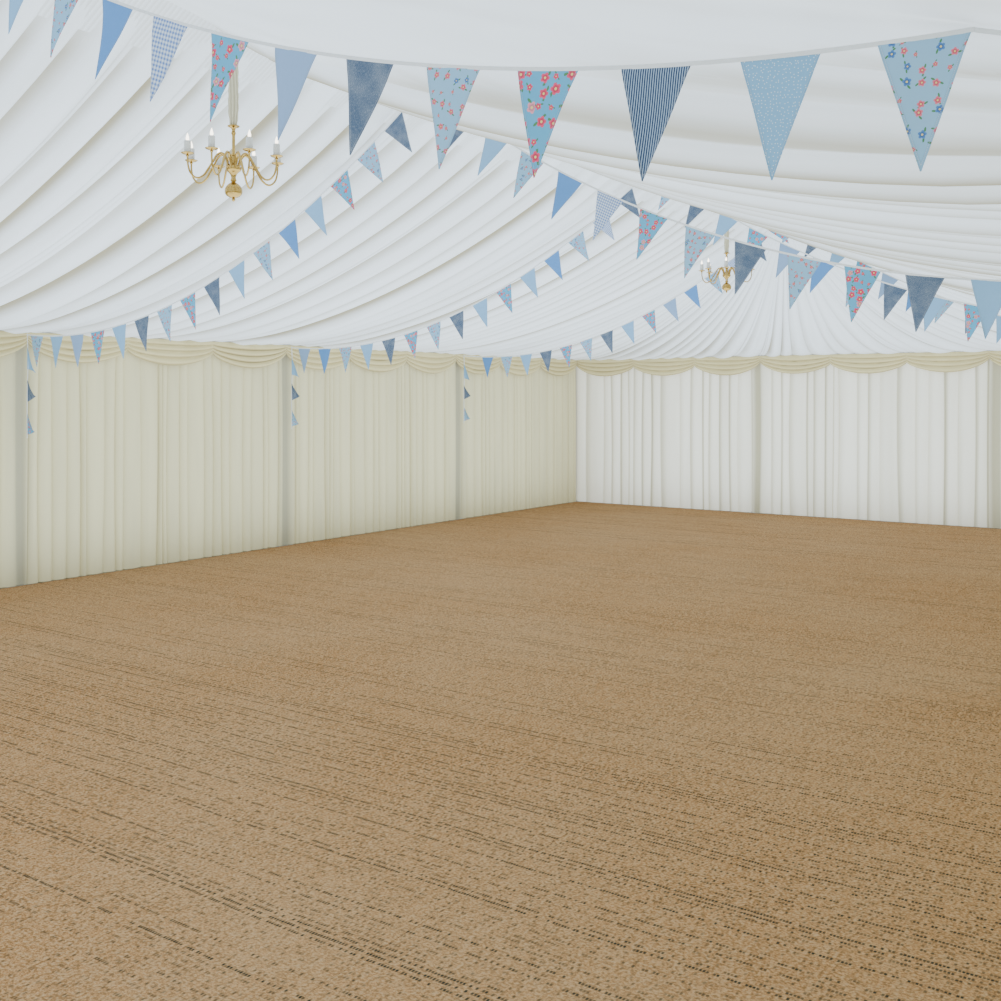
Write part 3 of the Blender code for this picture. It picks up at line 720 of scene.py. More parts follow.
def plain_cotton(name, colour, fleck=None, fleck_pitch=0.010):
    finish = Finish(name, roughness=0.88)
    finish.set("Specular IOR Level", 0.25)
    vector = finish.coordinates("UV")
    slub = finish.noise(vector, 260.0, 2.0, (1.0, 0.25, 1.0))
    tint = finish.mix(finish.between(slub, 0.25, 0.75) * 0.22, colour, dimmed(colour, 0.8))
    if fleck is not None:
        cells = finish.node(
            "ShaderNodeTexVoronoi", {"voronoi_dimensions": "2D"},
            {"Vector": vector, "Scale": 1 / fleck_pitch, "Randomness": 0.75},
        )
        tint = finish.mix((cells < 0.14) * 0.75, tint, fleck)
    return sewn(finish, vector, tint)


def checked_cotton(name, colour, check):
    finish = Finish(name, roughness=0.88)
    vector = finish.coordinates("UV")
    warp, weft = ((part / (2 * check)).math("FRACT") < 0.5 for part in finish.parts(vector)[:2])
    yarn = finish.noise(vector, 900.0, 1.0)
    share = (warp + weft) * 0.5 * (0.85 + finish.between(yarn, 0.3, 0.7) * 0.15)
    return sewn(finish, vector, finish.mix(share, (0.66, 0.74, 0.84), colour))


def striped_cotton(name, dark, light, stripe):
    finish = Finish(name, roughness=0.88)
    vector = finish.coordinates("UV")
    wobble = finish.noise(vector, 300.0, 1.0) * 0.06
    band = (finish.parts(vector)[0] / stripe + wobble).math("FRACT") < 0.60
    return sewn(finish, vector, finish.mix(band, light, dark))


def denim_cotton(name, colour):
    finish = Finish(name, roughness=0.92)
    vector = finish.coordinates("UV")
    across, along, _ = finish.parts(vector)
    twill = ((across + along) / 0.0021).math("FRACT") < 0.42
    worn = finish.noise(vector, 700.0, 2.0, (1.0, 0.2, 1.0))
    faded = finish.noise(vector, 16.0, 3.0)
    return sewn(finish, vector, finish.layered(
        colour,
        (twill * 0.40, [c * 0.5 + 0.30 for c in colour]),
        (finish.between(worn, 0.5, 0.75) * 0.30, (0.55, 0.62, 0.70)),
        (finish.between(faded, 0.4, 0.7) * 0.15, (0.60, 0.66, 0.72)),
    ))


def sprigged_cotton(name, ground, cell, bloom, petal, second, sprig_share):
    """A ditsy print of simple five-petalled sprigs, each with two leaves, scattered at random."""
    finish = Finish(name, roughness=0.86)
    vector = finish.coordinates("UV")
    spot, chance = (
        finish.node(
            "ShaderNodeTexVoronoi", {"voronoi_dimensions": "2D"},
            {"Vector": vector, "Scale": 1 / cell, "Randomness": 0.62}, output,
        )
        for output in ("Position", "Color")
    )
    kind, turn, size = finish.parts(chance)
    dx, dy, _ = finish.parts(finish.vector("SUBTRACT", vector, spot))
    angle = turn * math.tau
    sine, cosine = angle.math("SINE"), angle.math("COSINE")
    u = (dx * cosine + dy * sine) / bloom
    v = (dy * cosine - dx * sine) / bloom
    reach = (u * u + v * v).math("SQRT")
    radius = (1 - (kind < sprig_share) * 0.45) * (0.85 + size * 0.25)
    petals = (v.math("ARCTAN2", u) * 2.5).math("COSINE").math("ABSOLUTE")
    outline = radius * (0.66 + petals * 0.34)
    vein = (reach < outline * 0.9) * (petals < 0.25)

    def leaf_mask(side):
        away = u - radius * 1.15 * side
        drop = v + radius * 0.45
        return ((away * away) / 0.30 + (drop * drop) / 0.055) < radius * radius

    blue = kind > 0.80
    bright = finish.mix(blue, petal, second)
    dark = finish.mix(blue, (0.40, 0.008, 0.04), dimmed(second, 0.45))
    return sewn(finish, vector, finish.layered(
        ground,
        (leaf_mask(1.0).math("MAXIMUM", leaf_mask(-1.0)), (0.07, 0.22, 0.08)),
        (reach < outline, bright),
        (vein * 0.45, dark),
        ((reach < outline * 0.62) * 0.55, dark),
        (reach < radius * 0.24, (0.78, 0.62, 0.22)),
    ))


class BuntingSettings(bpy.types.PropertyGroup):
    width: length_setting("Width", "Pennant across its top", 0.180)
    length: length_setting("Length", "Pennant from tape to tip", 0.262)
    tape: length_setting("Tape", "Width of the tape", 0.0102)
    check: length_setting("Check", "One square of the check", 0.0070)
    stripe: length_setting("Stripe", "One stripe and its gap", 0.0060)
    light: colour_setting("Light blue", "Plain light cotton", (0.25, 0.47, 0.73))
    middle: colour_setting("Mid blue", "Plain middle cotton", (0.11, 0.285, 0.62))
    grey: colour_setting("Grey blue", "Plain greyed cotton", (0.265, 0.41, 0.65))
    denim: colour_setting("Denim", "Washed denim", (0.020, 0.066, 0.150))
    bright: colour_setting("Bright ground", "Ground of the larger print", (0.095, 0.39, 0.63))
    pale: colour_setting("Pale ground", "Ground of the smaller print", (0.265, 0.485, 0.69))


# For each string: half its reach, its pin height and sag, then runs of pennants as
# (place along the tape from the ridge, step, letters of their cloths)
STRINGS = {
    1: (3.78, 2.292, 0.284, [(3.9195, -0.2907, "PSTFPDYFGMPLDFPMLTSFPDYFGMPD")]),
    2: (4.2341, 2.10, 0.45, [(-0.04, -0.2737, "FDPFLMPLDFPDLFYLP"), (0.38, 0.2877, "DLPMGFPDPFDLPFM")]),
    3: (4.2341, 2.10, 0.45, [(-0.043, -0.2885, "FDGPMLFLDPFDLPMY"), (0.245, 0.2885, "PDLFYMPDLFPDLFM")]),
    4: (4.2341, 2.10, 0.45, [(-0.144, -0.2885, "FDGPMYFLDPFDLPM"), (0.144, 0.2885, "PDLFYMPDLFPDLGM")]),
}
CLOTHS = "LMYDTSGFP"
TAPE_TOP = BEAM_BOTTOM - 0.0005
# Cloths down the hanging ends of a string, how far each one droops, and their places below the pin
TAILS = {2: "LDF", 3: "LDP", 4: "LDP"}
TAIL_DROOPS = (0.12, 0.04, 0.06)
TAIL_DROP, TAIL_STEP = 0.20, 0.272


def pennant(settings, centre, along, down, rng, droop=0.0):
    """One pennant in its own plane, with a little curl: its top edge along the tape, its tip down from it."""
    rows = np.concatenate([np.linspace(0, 0.94, 11), [0.985, 1.0]])[:, None]
    shares = np.array([-1.0, -0.93, -0.6, -0.2, 0.2, 0.6, 0.93, 1.0])
    half = settings.width / 2 * (1 - rows * 0.985)
    sway, cup, phase = rng.uniform(-1, 1), rng.uniform(-1, 1), rng.uniform(0, 6.28)
    twist = rng.uniform(-0.16, 0.16) * rows
    x = half * shares
    proud = (
        0.012 * sway * rows**2
        + 0.007 * cup * (shares**2) * (0.3 + rows) * (1 - rows * 0.7)
        + 0.0035 * np.sin(rows * 5 + phase) * (1 - rows * 0.4)
        + x * np.sin(twist)
    ) * smooth(0.0, 0.15, rows)
    normal = np.cross(along, down)
    tip = down * 0.10 - UP * droop if droop else down * settings.length
    curl = 0.012 * np.sin(2.4 * rows) * (0.5 - shares) if droop else 0.0
    points = centre + x[..., None] * along + rows[..., None] * tip + (proud + curl)[..., None] * normal
    offset = rng.uniform(0, 3, 2)
    uv = grid(x + offset[0], offset[1] - settings.length * rows)
    edge = np.tile(((1 - np.abs(shares)) * half * 0.95).ravel(), 2)
    return shell_data(points, points + normal * PENNANT_THICK, uv), edge


def curve_of(reach, pin, sag):
    """Points down one half of a string and the length of tape to each."""
    x = np.linspace(0, reach, 801)
    share = x / reach
    z = TAPE_TOP + (pin - TAPE_TOP) * share - 4 * sag * share * (1 - share)
    run = np.concatenate([[0.0], np.cumsum(np.hypot(np.diff(x), np.diff(z)))])
    return x, z, run


def point_on(curve, place, y):
    """Position, direction along and direction down at a signed length of tape from the ridge."""
    x, z, run = curve
    side = -1.0 if place < 0 else 1.0
    here = np.interp(abs(place), run, x)
    ahead, behind = min(here + 0.01, x[-1]), max(here - 0.01, 0.0)
    slope = (np.interp(ahead, x, z) - np.interp(behind, x, z)) / (ahead - behind)
    along = np.array([1.0, 0.0, side * slope])
    along /= np.linalg.norm(along)
    down = np.array([along[2], 0.0, -along[0]])
    return np.array([side * here, y, np.interp(here, x, z)]), along, down


def tape_data(points, normals, width):
    """A flat tape whose top edge follows points and whose width runs down its normals."""
    points = np.asarray(points)
    steps = np.array([0.0, 0.5, 1.0])[:, None] * width
    front = points + np.asarray(normals) * steps[..., None] + np.array([0.0, -0.0006, 0.0])
    run = np.concatenate([[0.0], np.cumsum(np.linalg.norm(np.diff(points, axis=0), axis=1))])
    return (*shell_data(front, front + np.array([0.0, TAPE_THICK, 0.0]), grid(run, steps)), 0)


class MARQUEE_OT_hang_bunting(bpy.types.Operator):
    """Hang a string of pennants at each portal, with its ends hanging down the walls"""

    bl_idname = "marquee.hang_bunting"
    bl_label = "Hang the bunting"

    def execute(self, context):
        settings = context.scene.marquee_bunting
        cloths = [
            plain_cotton("light_blue_cotton", settings.light),
            plain_cotton("mid_blue_cotton", settings.middle),
            plain_cotton("grey_blue_cotton", settings.grey),
            denim_cotton("washed_denim", settings.denim),
            striped_cotton("ticking_stripe", (0.018, 0.044, 0.11), (0.33, 0.44, 0.59), settings.stripe),
            plain_cotton("dotted_cotton", (0.21, 0.44, 0.68), (0.80, 0.84, 0.88), 0.0085),
            checked_cotton("blue_check", (0.055, 0.17, 0.51), settings.check),
            sprigged_cotton(
                "bright_sprig", settings.bright, 0.038, 0.0150, (0.72, 0.075, 0.16), (0.78, 0.30, 0.38), 0.35
            ),
            sprigged_cotton(
                "pale_sprig", settings.pale, 0.031, 0.0085, (0.74, 0.17, 0.24), (0.07, 0.20, 0.50), 0.45
            ),
        ]
        webbing = Finish("bunting_tape", roughness=0.9)
        vector = webbing.coordinates("UV")
        strands = webbing.noise(vector, 900.0, 1.0, (0.1, 1.0, 1.0))
        webbing.set("Base Color", webbing.mix(strands, (0.72, 0.75, 0.78), (0.86, 0.88, 0.90)))
        webbing.relief(weave(webbing, vector, 0.0016) * 0.0003)
        for number in STRINGS:
            self.pennants(settings, number, cloths)
            self.tape(settings, number, webbing.material)
        return {"FINISHED"}

    def pennants(self, settings, number, cloths):
        reach, pin, sag, runs = STRINGS[number]
        rng = np.random.default_rng(100 + number)
        y = PORTALS[number - 1]
        curve = curve_of(reach, pin, sag)
        parts, edges = [], []

        def add(letter, *where, droop=0.0):
            data, edge = pennant(settings, *where, rng, droop)
            parts.append((*data, CLOTHS.index(letter)))
            edges.append(edge)

        for first, step, letters in runs:
            for k, letter in enumerate(letters):
                place = first + step * k
                if abs(place) <= curve[2][-1] - settings.width / 2:
                    spot, along, down = point_on(curve, place, y)
                    add(letter, spot + down * 0.0015, along, down)
        for side in (-1, 1):
            for k, letter in enumerate(TAILS.get(number, "")):
                spot = np.array([side * (reach - 0.006), y, pin - TAIL_DROP - TAIL_STEP * k])
                add(letter, spot, UP, np.array([-side, 0.0, 0.0]), droop=TAIL_DROOPS[k])
        piece = joined(f"pennants_{number}", parts, cloths, edges)
        fitted(piece, "bunting_cotton", f"bunting_{number}")
        sheet_of(piece, settings.length, settings.width * len(parts), "hung", [f"bunting_tape_{number}"])

    def tape(self, settings, number, material):
        reach, pin, sag, _ = STRINGS[number]
        y = PORTALS[number - 1]
        curve = curve_of(reach, pin, sag)
        spots = [point_on(curve, place, y) for place in np.linspace(-curve[2][-1], curve[2][-1], 181)]
        tapes = [tape_data([spot for spot, _, _ in spots], [down for _, _, down in spots], settings.tape)]
        for side in (-1, 1):
            if number in TAILS:
                last = pin - TAIL_DROP - TAIL_STEP * (len(TAILS[number]) - 1)
                z = np.linspace(pin + 0.004, last - settings.width / 2 - 0.03, 30)
                sway = 0.004 * np.sin((pin - z) * 7.0)
                line, normal = grid(side * (reach - np.abs(sway)), y + sway, z), (-side, 0.0, 0.0)
            else:
                x = np.linspace(reach + 0.0005, reach + 0.22, 12)
                z = np.minimum(pin, lining_z(x / LINING_X, 0.0) - 0.006)
                line, normal = grid(side * x, y, z), -UP
            tapes.append(tape_data(line, normal, settings.tape))
        piece = joined(f"bunting_tape_{number}", tapes, [material])
        fitted(piece, "bunting_cotton")
        sheet_of(piece, settings.tape, cloth_area(piece) / settings.tape, "hung", ["ridge_beam"])


# ---------------------------------------------------------------- chandeliers
class ChandelierSettings(bpy.types.PropertyGroup):
    arms: IntProperty(name="Arms", description="Arms of a chandelier", default=8)
    reach: length_setting("Reach", "Centre line to candle", 0.23)
    glow: FloatProperty(name="Glow", description="Brightness of the bulbs", default=5.0)
    brass: colour_setting("Brass", "Colour of the brass", (0.50, 0.335, 0.10))


# Radius and height above the lowest point, in millimetres: stem, hub, ball and finial in one
STEM = [
    (0, 380), (4, 379.6), (27, 378.5), (29.5, 377), (30, 374.8), (29, 372.6), (21, 369.5), (13, 366),
    (9.6, 361), (8.4, 354), (8.2, 349), (10.4, 346.5), (11.6, 343), (11.8, 339.5), (10.4, 336), (8.6, 333.5),
    (8.0, 330), (7.9, 322), (7.9, 250), (8.2, 243), (10.5, 240), (14.5, 237), (15.8, 233.5), (15.4, 230),
    (12.2, 227), (11.4, 221), (12.0, 208), (13.4, 196), (14.2, 189.5), (20, 184.5), (29, 181), (35.5, 175),
    (38.6, 167.5), (38.4, 160), (34, 153), (26, 147), (18.5, 139), (13, 128), (11.4, 120), (12.2, 114),
    (14.6, 109.5), (15.2, 106), (14.4, 102.5), (10.8, 100), (10.2, 98), (15, 94.5), (24, 88.5), (33, 80),
    (39.5, 70), (42.8, 62), (43.9, 56.5), (43.0, 54.5), (43.0, 53), (43.9, 51), (43.2, 45), (40.5, 37.5),
    (34.5, 30), (26, 24.3), (16, 20.6), (8.6, 18.9), (6.6, 17), (7.6, 14.5), (8.8, 11), (8.4, 7.2),
    (5.6, 3.6), (2.2, 0.9), (0, 0),
]
PAN = [
    (0, 219), (13.4, 219), (13.9, 217.5), (13.9, 214), (15.4, 213), (24, 214.2), (30.6, 217.4), (31.5, 217.2),
    (31.2, 215.6), (25, 211.4), (16, 208.8), (9.5, 207.6), (6.6, 205), (7.8, 202.6), (7.2, 200), (4.8, 197.5),
    (0, 196.5),
]
CANDLE = [
    (0, 273.5), (5.6, 273.5), (6.2, 275.5), (12.5, 275.8), (15.8, 274.4), (16.5, 272), (16.4, 262),
    (16.6, 240), (16.5, 218.5), (0, 218.3),
]
BULB = [
    (0, 314), (1.3, 312.5), (3.0, 307.5), (5.4, 300), (7.6, 292), (8.4, 286), (7.6, 280.5), (5.4, 276.5),
    (4.8, 273.7), (0, 273.6),
]
PIN = [(0, 24), (3, 24), (9, 22.5), (11, 20), (11.4, 17), (10, 15.6), (7, 15.2), (6.6, 12.2), (0, 12.2)]
# An arm's line as shares of its reach and of the chandelier's height
ARM = [
    (0.12, 0.42), (0.14, 0.52), (0.20, 0.595), (0.27, 0.62), (0.35, 0.595), (0.45, 0.50), (0.56, 0.39),
    (0.67, 0.30), (0.80, 0.265), (0.92, 0.31), (0.985, 0.41), (1.0, 0.54),
]
REPEAT_INPUTS = {
    "Geometry": "Geometry", "Piece": "Object", "Count": "Int", "Step": "Vector", "Turn": "Float",
    "First turn": "Float", "Place": "Vector", "Finish": "Material",
}


def repeat_tree(name):
    """A tree that sets copies of a piece round a centre or along a line, and makes them real."""
    tree = bpy.data.node_groups.new(name, "GeometryNodeTree")
    sockets = {
        label: tree.interface.new_socket(label, in_out="INPUT", socket_type="NodeSocket" + kind).identifier
        for label, kind in REPEAT_INPUTS.items()
    }
    tree.interface.new_socket("Geometry", in_out="OUTPUT", socket_type="NodeSocketGeometry")
    nodes = Nodes(tree)
    start = tree.nodes.new("NodeGroupInput")
    given = {label: Value(nodes, start.outputs[label]) for label in REPEAT_INPUTS}
    turn = nodes.node("GeometryNodeInputIndex") * given["Turn"] + given["First turn"]
    made = nodes.node("GeometryNodeMeshLine", (), {"Count": given["Count"], "Offset": given["Step"]})
    for kind, inputs in (
        ("GeometryNodeInstanceOnPoints", {
            "Instance": nodes.node("GeometryNodeObjectInfo", (), {"Object": given["Piece"]}, "Geometry"),
            "Rotation": nodes.node("ShaderNodeCombineXYZ", (), {"Z": turn}),
        }),
        ("GeometryNodeRealizeInstances", {}),
        ("GeometryNodeSetPosition", {"Offset": given["Place"]}),
        ("GeometryNodeSetMaterial", {"Material": given["Finish"]}),
    ):
        made = nodes.node(kind, (), {0: made, **inputs})
    tree.links.new(made.socket, tree.nodes.new("NodeGroupOutput").inputs[0])
    return tree, sockets


def copies_of(name, piece, count, first, place, material, step=(0.0, 0.0, 0.0), turn=None):
    """Copies of a piece, each one step and one turn on from the last, as one plain mesh."""
    tree, sockets = repeat_tree("repeat_" + name)
    holder = bpy.data.objects.new(name, bpy.data.meshes.new(name + "_points"))
    bpy.context.scene.collection.objects.link(holder)
    modifier = holder.modifiers.new("copies", "NODES")
    modifier.node_group = tree
    for label, value in {
        "Piece": piece, "Count": count, "Step": step, "First turn": first, "Place": place,
        "Turn": math.tau / count if turn is None else turn, "Finish": material,
    }.items():
        modifier[sockets[label]] = value
    bpy.context.view_layer.update()
    made = bpy.data.meshes.new_from_object(holder.evaluated_get(bpy.context.evaluated_depsgraph_get()))
    holder.modifiers.clear()
    holder.data = made
    made.name = name
    return holder


def joined_copies(name, sets, material):
    """Sets of copies as one piece."""
    points, faces, count = [], [], 0
    for made in sets:
        own = np.empty(len(made.data.vertices) * 3)
        made.data.vertices.foreach_get("co", own)
        points.append(own.reshape(-1, 3))
        faces += [[k + count for k in face.vertices] for face in made.data.polygons]
        count += len(made.data.vertices)
        bpy.data.objects.remove(made, do_unlink=True)
    return new_piece(name, np.concatenate(points), faces, materials=[material], crease=35)


def brass_finish(colour):
    finish = Finish("polished_brass", metallic=1.0)
    vector = finish.coordinates("Object")
    tarnish = finish.noise(vector, 38.0, 4.0)
    smear = finish.noise(vector, 160.0, 2.0, (1.0, 1.0, 4.0))
    dull = finish.between(tarnish, 0.52, 0.75) * 0.45
    finish.set("Base Color", finish.mix(dull, colour, dimmed(colour, 0.62)))
    finish.set("Roughness", 0.13 + finish.between(tarnish, 0.45, 0.8) * 0.22 + smear * 0.05)
    finish.relief(smear, 0.00012, 0.5)
    return finish.material


def candle_finish():
    finish = Finish("candle_tube", roughness=0.5)
    drip = finish.noise(finish.coordinates("Object"), 90.0, 2.0, (1.0, 1.0, 0.25))
    finish.set("Base Color", finish.mix(drip, (0.60, 0.60, 0.58), (0.70, 0.70, 0.67)))
    finish.relief(drip, 0.0008, 0.4)
    return finish.material


def bulb_finish(glow):
    finish = Finish("lit_bulb", roughness=0.3)
    core = finish.node("ShaderNodeLayerWeight", (), {"Blend": 0.35}, "Facing")
    finish.set("Base Color", (0.95, 0.90, 0.82))
    finish.set("Emission Color", finish.mix(core, (1.0, 0.93, 0.82), (1.0, 0.78, 0.50)))
    finish.set("Emission Strength", glow)
    return finish.material


class MARQUEE_OT_hang_chandeliers(bpy.types.Operator):
    """Hang the two brass chandeliers, each below its gathered sleeve"""

    bl_idname = "marquee.hang_chandeliers"
    bl_label = "Hang the chandeliers"

    def execute(self, context):
        settings = context.scene.marquee_chandeliers
        brass, tube, bulb = brass_finish(settings.brass), candle_finish(), bulb_finish(settings.glow)
        base, top = (corner.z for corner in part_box("chandelier_1"))
        parts = [("arms", self.arm_piece(settings.reach, top - base), brass)]
        shift = (settings.reach, 0.0, 0.0)
        for label, profile, sides, material in (
            ("pans", PAN, 28, brass), ("candles", CANDLE, 20, tube), ("bulbs", BULB, 16, bulb)
        ):
            parts.append((label, turned_piece(f"one_{label}", profile, sides, material, shift), material))
        first = math.pi / settings.arms
        for number, y in ((1, BAY), (2, -BAY)):
            place = (0.0, y, base)
            stem = turned_piece(f"chandelier_stem_{number}", STEM, 40, brass, place)
            fitted(stem, "polished_brass", f"chandelier_{number}")
            for label, piece, material in parts:
                ring = copies_of(f"chandelier_{label}_{number}", piece, settings.arms, first, place, material)
                fitted(ring, "polished_brass")
        for _, piece, _ in parts:
            bpy.data.objects.remove(piece, do_unlink=True)
        return {"FINISHED"}

    def arm_piece(self, reach, height):
        curve = bpy.data.curves.new("one_arm", "CURVE")
        curve.dimensions = "3D"
        curve.resolution_u = 7
        curve.bevel_depth = 0.0054
        curve.bevel_resolution = 3
        curve.use_fill_caps = True
        spline = curve.splines.new("BEZIER")
        spline.bezier_points.add(len(ARM) - 1)
        for point, (out, up) in zip(spline.bezier_points, ARM):
            point.handle_left_type = point.handle_right_type = "AUTO"
            point.co = (reach * out, 0.0, height * up)
            point.radius = 1.15 - 0.3 * out
        guide = bpy.data.objects.new("arm_line", curve)
        bpy.context.scene.collection.objects.link(guide)
        bpy.context.view_layer.update()
        mesh = bpy.data.meshes.new_from_object(guide.evaluated_get(bpy.context.evaluated_depsgraph_get()))
        bpy.data.objects.remove(guide, do_unlink=True)
        mesh.shade_smooth()
        arm = bpy.data.objects.new("one_arm", mesh)
        bpy.context.scene.collection.objects.link(arm)
        return arm


class MARQUEE_OT_sleeve_chains(bpy.types.Operator):
    """Cover each chandelier's chain with a gathered cloth sleeve"""

    bl_idname = "marquee.sleeve_chains"
    bl_label = "Sleeve the chains"

    def execute(self, context):
        # Painted shade in the rucks and a painted glow, as on the other hung cloths.
        material = hung_cloth("cream_sleeve_cloth", (0.636, 0.611, 0.464), (0.430, 0.396, 0.275), 0.116, 20.0)
        angle = np.linspace(0, math.tau, 73)[:-1]
        t = np.linspace(0, 1, 40)[:, None]
        for number in (1, 2):
            low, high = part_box(f"sleeve_{number}")
            phase = np.random.default_rng(140 + number).uniform(0, 6.28, 3)
            body = 0.0205 + 0.0035 * np.sin(math.pi * t) ** 0.6 + 0.0016 * np.sin(9 * t + phase[0])
            body = body - 0.0050 * smooth(0.86, 1.0, t) - 0.004 * smooth(0.07, 0.0, t)
            ruck = 0.0016 * np.sin(9 * angle + 3.0 * np.sin(5 * t + phase[1]))
            tight = 0.0011 * np.sin(22 * angle + phase[2]) * (smooth(0.2, 0.0, t) + smooth(0.8, 1.0, t))
            radius = body + ruck + tight + 0.0012 * np.sin(60 * t + 2 * np.sin(angle + phase[0]))
            z = high.z + (low.z - high.z) * t
            ring = grid(np.cos(angle), np.sin(angle), 0 * t)
            front = ring * radius[..., None] + grid(0.0, (low.y + high.y) / 2, z)
            # The fold mark paints shade into the rucks of the sleeve.
            hung(
                f"chain_sleeve_{number}", front, -SLEEVE_THICK * ring, grid(angle * 0.023, z),
                0.5 - 0.5 * np.clip(ruck / 0.0016, -1, 1), material, "cream_sleeve", [f"sleeve_{number}"],
                (0.16, 0.60), "gathered", [f"chandelier_{number}"], wrap=True,
            )
        return {"FINISHED"}


# ---------------------------------------------------------------- covers
class CoverSettings(bpy.types.PropertyGroup):
    sag: length_setting("Sag", "Dip of a cover between rafters", 0.012)
    colour: colour_setting("Cover", "Colour of the coated cloth", (0.78, 0.80, 0.80))
    dirt: colour_setting("Dirt", "Colour of the weathering", (0.36, 0.36, 0.32))


def coated_cloth(settings):
    finish = Finish("coated_cover", roughness=0.45)
    vector = finish.coordinates("UV")
    streak = finish.noise(vector, 1.8, 5.0, (5.0, 0.7, 1.0))
    bloom = finish.noise(vector, 0.9, 4.0)
    dirt = finish.between(streak, 0.52, 0.82) * 0.22 + finish.between(bloom, 0.5, 0.8) * 0.16
    # The fold mark darkens the cover along its laps, seams, hems and foot.
    dirt = dirt + finish.mark("fold") * 0.60
    finish.set("Base Color", finish.mix(dirt, settings.colour, settings.dirt))
    finish.set("Roughness", 0.40 + dirt * 0.4)
    finish.set("Coat Weight", 0.10)
    finish.relief(weave(finish, vector, 0.0022) * 0.00012 + finish.noise(vector, 3.0, 3.0) * 0.006, 1.0, 0.7)
    return finish.material


class MARQUEE_OT_fit_covers(bpy.types.Operator):
    """Fit the coated roof covers, valances and wall covers"""

    bl_idname = "marquee.fit_covers"
    bl_label = "Fit the covers"

    def execute(self, context):
        settings = context.scene.marquee_covers
        material = coated_cloth(settings)
        for name, side in SIDES.items():
            self.roof(name, side, settings, material)
        for name, side in SIDES.items():
            self.valance(name, side, material)
        for name, side in WALLS.items():
            self.wall(name, side, material)
        return {"FINISHED"}

    def roof(self, name, side, settings, material):
        """A roof cover with a welded lap over each rafter and a hem along the eaves."""
        low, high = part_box("roof_cover_right")
        ridge, eaves = high.z - 0.005, low.z
        reach = high.y if side[0] else high.x
        stops = [-reach, *(PORTALS if side[0] else ()), reach]
        steps = np.concatenate([[0, 0.006, 0.012], np.linspace(0.03, 0.97, 19), [0.988, 0.994, 1]])
        p = np.unique(np.concatenate([a + (b - a) * steps for a, b in zip(stops, stops[1:])]))
        s = np.linspace(0.0006, 0.9999, 21)[:, None]
        bay = np.interp(p, stops, range(len(stops))) % 1.0
        off = np.abs(p[:, None] - np.array(stops)).min(1)
        dip = settings.sag * np.sin(math.pi * bay) * np.sin(math.pi * s) ** 0.7
        welt, hem = 0.0016 * np.exp(-((off / 0.03) ** 4)), 0.0010 * smooth(0.985, 0.988, s)
        z = ridge + (eaves - ridge) * s + 0.0022 - dip + welt + hem
        run = high.x if side[0] else high.y - HALF_RIDGE
        length = math.hypot(run, ridge - eaves)
        fold = np.clip(np.exp(-((off / 0.022) ** 2)) * 0.95 + 0.45 * smooth(0.955, 0.99, s), 0, 1)
        hung(
            f"cover_{name}", sloped(side, p, s, z, run), -COVER_THICK * UP, grid(p, s * length), fold,
            material, "white_coated_cover", [f"roof_cover_{name}"], (2 * reach, length), "stretched",
            ["portal_1", "ridge_beam"],
        )

    def valance(self, name, side, material):
        start, end, _, outer, foot, head = wall_of(f"valance_{name}", side)
        p = np.linspace(start, end, int((end - start) / 0.05))
        t = np.array([0, 0.3, 0.6, 0.86, 0.90, 0.94, 1.0])[:, None]
        wave = 0.0035 * t * (np.sin(p * 7.3) + 0.6 * np.sin(p * 17.1 + 1.0))
        scallop = 0.030 * np.abs(np.sin(math.pi * (p - start) / (end - start) * round((end - start) / 0.30)))
        z = head - (head - foot - 0.030 + scallop) * t
        level = outer - sum(side) * (0.003 - wave - 0.0008 * smooth(0.88, 0.92, t))
        hung(
            f"valance_cloth_{name}", upright(side, p, level, z), -COVER_THICK * np.array([*side, 0]),
            grid(p, z), smooth(0.82, 0.92, t) * 0.75 + 0.25 * smooth(0.2, 0.0, t), material,
            "white_coated_cover", [f"valance_{name}"], (end - start, head - foot), "hung", [f"cover_{name}"],
        )

    def wall(self, name, side, material):
        """A wall cover that bellies a little between its posts and lies flat along its foot hem."""
        start, end, inner, _, foot, head = wall_of(f"wall_cover_{name}", side)
        p = np.linspace(start, end, int((end - start) / 0.026))
        t = np.array([0, 0.12, 0.25, 0.4, 0.55, 0.7, 0.83, 0.93, 0.96, 0.975, 1.0])[:, None]
        near = np.abs(p[:, None] - np.array(PORTALS if side[0] else POSTS)).min(1)
        slack = smooth(0.02, 0.5, near) * (1 - smooth(0.86, 0.955, t))
        wave = slack * (0.003 + 0.0025 * np.sin(p * 9.0 + 2 * t) + 0.0015 * np.sin(p * 23.0 + 5 * t))
        lap = 0.0016 * smooth(0.055, 0.050, near) + 0.0014 * smooth(0.965, 0.972, t)
        z = head + (foot - head) * t
        seam = np.exp(-(((near - 0.052) / 0.012) ** 2))
        fold = np.clip(0.5 * smooth(0.80, 1.0, t) + 0.75 * seam + 0.2 * smooth(0.05, 0.04, near), 0, 1)
        hung(
            f"wall_cloth_{name}", upright(side, p, inner + sum(side) * (0.0022 + wave + lap), z),
            -COVER_THICK * np.array([*side, 0]), grid(p, z), fold, material, "white_coated_cover",
            [f"wall_cover_{name}"], (end - start, head - foot), "hung",
            [f"valance_cloth_{name.split('_')[0]}"],
        )


# ---------------------------------------------------------------- frame and matting
class FrameSettings(bpy.types.PropertyGroup):
    colour: colour_setting("Aluminium", "Colour of the frame", (0.66, 0.67, 0.68))
    coir: colour_setting("Coir", "Colour of the fibre", (0.380, 0.204, 0.084))
    straw: colour_setting("Straw", "Colour of the paler strands", (0.50, 0.35, 0.20))
    fleck: colour_setting("Fleck", "Colour of the dark yarn", (0.032, 0.036, 0.028))
    eyelet_pitch: length_setting("Eyelet pitch", "From one eyelet of a wall cover to the next", 0.5)
    eyelet_height: length_setting("Eyelet height", "Eyelets above the foot of the wall cover", 0.045)
    row: length_setting("Row", "From one row of the weave to the next", 0.027)


